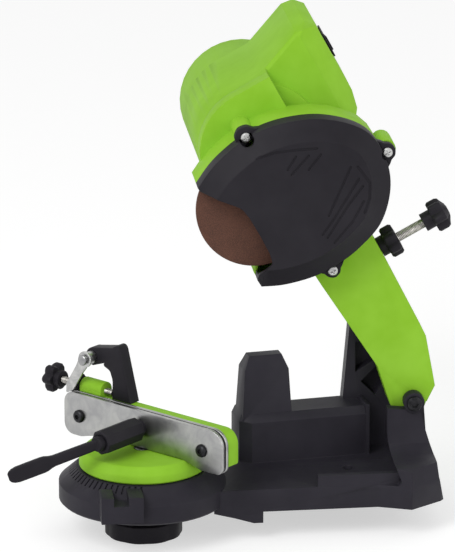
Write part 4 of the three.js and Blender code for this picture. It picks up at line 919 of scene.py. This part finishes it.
# %% Rail plates and their screws
PLATE_NEAR = 1.1
PLATE_FAR = 4.1
PLATE_EDGE = 0.5
SCREW_Z = 63
plate = rounded([
    (-86, 45, 10), (-67, 45, 6), (-47, 50.3, 6), (47, 50.3, 6),
    (67, 45, 6), (91, 45, 7), (91, 83, 14), (-86, 83, 10),
])
front = slab("Y", plate, -PLATE_FAR, -PLATE_NEAR, PLATE_EDGE)
rear = slab("Y", plate, PLATE_NEAR, PLATE_FAR, PLATE_EDGE)
piece(
    "front_plate_fine", [front], TABLE, zinc_sheet,
    "moving_jaw", ["front_rail_plate"],
)
piece("rear_plate_fine", [rear], TABLE, zinc_sheet, "vise", ["rear_rail_plate"])
for name, x in (("rail_screw_left", -68.5), ("rail_screw_right", 68.5)):
    screw = socket_screw((x, SCREW_Z), [
        (2.9, 16.4), (2.9, -4.4), (5.6, -4.4), (5.6, -5.4), (5.1, -6.5), (4.2, -7.3), (3.3, -7.6),
    ], key_r=2.3, mouth=-7.6, bottom=-5.8)
    piece(name + "_fine", [screw], TABLE, black_oxide, "vise", [name])

# %% [markdown]
# ## The clamping lever
#
# A cam lever closes the plates on the chain. An octagonal barrel holds the lever's
# root, its neck is narrow, and its blade is broad and flat for the thumb. The lever
# leans down and out, so its cross sections follow a line instead of an axis.

# %% Lever and barrel
LEVER_AXIS = (0, 68)
LEVER_ROOT = Vector((0, -58, 68))
LEVER_REACH = Vector((-47, -60, -24.3))
LEVER_EDGE = 1.4
# (radius, place along the axis, shape) rows.
BARREL = [
    (7.5, -4.4, "round"), (7.5, -9.3, "round"), (9.8, -9.5, "eight"), (10.8, -10.5, "eight"),
    (10.8, -53, "eight"), (10.3, -54.2, "eight"), (9.0, -55, "eight"), (6.9, -55, "round"),
    (6.7, -54.4, "round"), (6.7, -48, "round"),
]
# (share of the reach, width, thickness) rows.
SECTIONS = [
    (-0.04, 8.2, 5), (0.1, 9.0, 5), (0.3, 9.3, 5), (0.49, 9.5, 5), (0.53, 10.6, 5),
    (0.58, 13.2, 5), (0.62, 14, 5), (0.76, 14, 5), (0.9, 13.8, 5), (0.95, 12.2, 4.8),
    (0.985, 9.2, 4.2), (1.0, 6, 3),
]
rings = []
for radius, along, shape in BARREL:
    if shape == "eight":
        rings.append((polygon(radius, 8, LEVER_AXIS, math.pi / 2), along))
    else:
        rings.append((circle(radius, LEVER_AXIS), along))
barrel = stack("Y", rings)
piece("barrel_fine", [barrel], TABLE, black_nylon, "lever", ["lever_barrel"])

root = turning("Y", [(6.4, -48.3), (6.4, -59.6), (5.6, -60.7), (3.6, -61)], LEVER_AXIS)
direction = LEVER_REACH.normalized()
wide = (Vector((0, 0, 1)) - direction * direction.z).normalized()
thin = wide.cross(direction)
rings = []
for share, width, thick in SECTIONS:
    middle = LEVER_ROOT + LEVER_REACH * share
    half_w = width / 2
    half_t = thick / 2
    signs = ((-1, -1), (1, -1), (1, 1), (-1, 1))
    outline = rounded([(s * half_w, t * half_t, LEVER_EDGE) for s, t in signs], steps=3)
    rings.append([middle + wide * a + thin * b for a, b in outline])
handle = skin(rings)
piece("lever_fine", [root, handle], TABLE, black_nylon, "lever", ["clamp_lever"])

# %% [markdown]
# ## The vise's table and its clamp knob
#
# The green table is one moulding: a turned disc that swivels on the base, a long
# bracket behind the plates, and a lug that carries the stop screw. The three forms
# are joined in one object but not fused, because their seams are hidden where they
# meet. The clamp knob below the table is a thick dial with ten shallow lobes.

# %% Table, bracket and clamp knob
TABLE_EDGE = 0.9
BRACKET_Y = (4.4, 19.4)
LUG_X = (-76, -52)
DIAL_Z = (-26.6, -11.6)
DIAL_EDGE = 1.1
disc = turning("Z", [
    (52.6, 34.7), (53.6, 35.0), (54.6, 36.2), (54.6, 41.6), (54.2, 42.8), (50.6, 48.6),
    (49.6, 49.3), (48.4, 49.5), (8.6, 49.5), (8.3, 49.2), (8.3, 44.2), (1, 44.2),
], count=128)
bracket = rounded([(-76, 49, 3), (89, 49, 3), (89, 80, 12.5), (-76, 80, 3)])
lug = rounded([(4.4, 66, 0.5), (20, 66, 0.5), (20, 93, 7.6), (4.4, 93, 7.2)])
forms = [
    disc, slab("Y", bracket, *BRACKET_Y, TABLE_EDGE), slab("X", lug, *LUG_X, TABLE_EDGE),
]
piece("table_fine", forms, TABLE, green_nylon, "vise", ["vise_table"])

dial = slab("Z", lobes(10, 33, 32.2, (0, 0), steps=160), *DIAL_Z, DIAL_EDGE)
below_table = Matrix.Translation(TABLE_CENTRE * MM)
piece(
    "clamp_knob_fine", [dial], below_table, black_nylon,
    "table_knob", ["clamp_knob"],
)

# %% [markdown]
# ## The chain stop
#
# A black moulded arm reaches over the plates. A turned pin through its boss carries
# the pawl, which hangs down to the chain and flips up to let the chain pass. The
# arm is one thickness all over, so it is a slab: half a circle around the pin and
# rounded corners below it. The pin is turned from its profile.

# %% Arm and pin
PIN = (-65, 114)
BOSS_R = 8
BOSS_STEPS = 14
ARM_Y = (9.3, 22)
ARM_EDGE = 1.4
boss = []
for k in range(BOSS_STEPS + 1):
    angle = math.pi * k / BOSS_STEPS
    boss.append((PIN[0] - BOSS_R * math.sin(angle), PIN[1] + BOSS_R * math.cos(angle)))
arm = boss + rounded([
    (-54, 108.5, 2), (-46, 105, 5), (-43, 97, 14), (-43.7, 80.3, 0), (-22.7, 80.3, 0),
    (-37.2, 135.4, 4.5),
], steps=6)
piece(
    "stop_arm_fine", [slab("Y", arm, *ARM_Y, ARM_EDGE)], TABLE, black_nylon,
    "stop_carriage", ["stop_arm"],
)
pin = turning("Y", [
    (1.6, -4.9), (3.9, -4.8), (4.5, -4.2), (4.5, -2.8), (2.6, -2.6), (2.6, -2.1), (3.8, -2.0),
    (3.8, -1.2), (2.5, -1.2), (2.5, 22),
], PIN, count=32)
piece("pawl_pin_fine", [pin], TABLE, turned_steel, "stop_carriage", ["pawl_pin"])

# %% [markdown]
# ## The pawl
#
# The pawl is stamped from thin strip. Its eye is an arc around the pin, and the
# strip runs straight down to a rounded tip, which meets the chain's cutter. Both are
# one outline, laid along the line from the pin to the tip, so that the pawl's lean
# is set in one place.

# %% Pawl
EYE_R = 7
EYE_START = 50
EYE_SWEEP = 260
EYE_STEPS = 24
PAWL_REACH = Vector((-21, -34))
PAWL_HALF_T = 0.9
PAWL_EDGE = 0.25
down = PAWL_REACH.normalized()
across = Vector((-down.y, down.x))
blade = []
for k in range(EYE_STEPS + 1):
    angle = math.radians(EYE_START + EYE_SWEEP * k / EYE_STEPS)
    blade.append(tuple(Vector(PIN) + EYE_R * (down * math.cos(angle) + across * math.sin(angle))))
strip = [(0.3, -4.5), (0.82, -4.5), (0.99, -0.8), (1.0, 0), (0.97, 1.2), (0.82, 4.5), (0.3, 4.5)]
for share, aside in strip:
    blade.append(tuple(Vector(PIN) + down * PAWL_REACH.length * share + across * aside))
pawl = slab("Y", blade, -PAWL_HALF_T, PAWL_HALF_T, PAWL_EDGE)
piece("pawl_fine", [pawl], TABLE, zinc_screw, "pawl", ["chain_pawl"])

# %% [markdown]
# ## Easing the moulded parts
#
# The housing, motor casing and base keep the engineering model's own forms, and so
# do the small parts inside. They could all be drawn again, but their shapes are right
# and only their edges are too sharp. Modifiers mend that on top of the mesh: they
# merge its triangles into whole faces and then round every sharp edge with a bevel,
# wide on the moulded parts and fine on the steel ones.

# %% Rounded edges on the remaining parts
EDGES = {
    "wheel_housing": 1.4, "motor_casing": 3.0, "base": 1.6,
    "switch_body": 0.5, "switch_rocker": 0.5, "cord_gland": 0.6,
}
STEEL_EDGE = 0.25
WELD_MM = 0.002
FLAT_ANGLE = math.radians(0.6)
EDGE_ANGLE = math.radians(28)
for name, node in nodes.items():
    if node.hide_render:
        continue
    weld = node.modifiers.new("weld", "WELD")
    weld.merge_threshold = WELD_MM * MM
    merge = node.modifiers.new("whole_faces", "DECIMATE")
    merge.decimate_type = "DISSOLVE"
    merge.angle_limit = FLAT_ANGLE
    bevel = node.modifiers.new("eased_edges", "BEVEL")
    bevel.width = EDGES.get(name, STEEL_EDGE) * MM
    bevel.segments = 3
    bevel.limit_method = "ANGLE"
    bevel.angle_limit = EDGE_ANGLE
    bevel.harden_normals = True
    for face in node.data.polygons:
        face.use_smooth = True
print("parts eased:", sum(1 for node in nodes.values() if node.modifiers))

# %% [markdown]
# ## The dome of light
#
# Catalogue pictures are lit by large soft boxes over a white sweep. The world is a
# pale dome, one large lamp stands to the upper left as the key, and a weaker one
# fills from the right. The dome looks pure white to the camera and in reflections,
# but lights the tool at a lower level. Stronger lamps could make the background white
# too, but they would wash out the colours.

# %% Dome and soft boxes
DOME_LIGHT = 0.62
WHITE = linear("ffffff")
# Each lamp's place in metres, and its power in watts.
SOFT_BOXES = {
    "key_soft_box": ((-1.3, -1.5, 1.9), 32),
    "fill_soft_box": ((1.6, -1.2, 0.9), 9),
}
BOX_METRES = 1.2


def seen_by_eye(tree):
    """1 for rays from the camera, from a reflection or through glass, 0 for other light."""
    rays = add(tree, "LightPath").outputs
    mirrored = add(tree, "Math", {"operation": "MAXIMUM"},
                   _0=rays["Is Camera Ray"], _1=rays["Is Glossy Ray"])
    seen = add(tree, "Math", {"operation": "MAXIMUM"},
               _0=mirrored.outputs[0], _1=rays["Is Transmission Ray"])
    return seen.outputs[0]


world = bpy.data.worlds.new("studio_dome")
bpy.context.scene.world = world
world.use_nodes = True
sky = world.node_tree
background = sky.nodes["Background"]
level = add(sky, "MapRange", Value=seen_by_eye(sky), To_Min=DOME_LIGHT, To_Max=1.0)
background.inputs["Color"].default_value = WHITE
sky.links.new(level.outputs["Result"], background.inputs["Strength"])
for name, (place, watts) in SOFT_BOXES.items():
    lamp = bpy.data.lights.new(name, "AREA")
    lamp.shape = "SQUARE"
    lamp.size = BOX_METRES
    lamp.energy = watts
    holder = bpy.data.objects.new(name, lamp)
    holder.location = place
    holder.rotation_euler = (aim - Vector(place)).to_track_quat("-Z", "Y").to_euler()
    bpy.context.collection.objects.link(holder)
print("lamps:", list(SOFT_BOXES))

# %% [markdown]
# ## The white card
#
# The floor is matt card. To the eye it is a darker card with some glow of its own,
# which adds up to white where the light is open and leaves a faint shadow under the
# tool. Light that bounces off it on to the tool meets plain pale card.

# %% Floor
CARD_GLOW = 0.55
CARD_SEEN = 0.55
CARD_TONE = 0.87
CARD_METRES = 6.0
FLOOR_GAP_MM = 0.5
floor_z = cad_low[2] - FLOOR_GAP_MM * MM
floor_mesh = bpy.data.meshes.new("studio_floor")
signs = ((-1, -1), (1, -1), (1, 1), (-1, 1))
corners = [(s * CARD_METRES, t * CARD_METRES, floor_z) for s, t in signs]
floor_mesh.from_pydata(corners, [], [(0, 1, 2, 3)])
floor = bpy.data.objects.new("studio_floor", floor_mesh)
bpy.context.collection.objects.link(floor)
white_card, tree, shader = new_material("matt_white_card")
glow = add(tree, "Math", {"operation": "MULTIPLY"}, _0=seen_by_eye(tree), _1=CARD_GLOW)
tree.links.new(glow.outputs[0], shader.inputs["Emission Strength"])
shader.inputs["Emission Color"].default_value = WHITE
tone = add(tree, "MapRange", Value=seen_by_eye(tree), To_Min=CARD_TONE, To_Max=CARD_SEEN)
tree.links.new(tone.outputs["Result"], shader.inputs["Base Color"])
shader.inputs["Roughness"].default_value = 0.9
shader.inputs["Specular IOR Level"].default_value = 0.0
floor_mesh.materials.append(white_card)
print("floor at mm:", round(floor_z / MM, 1))
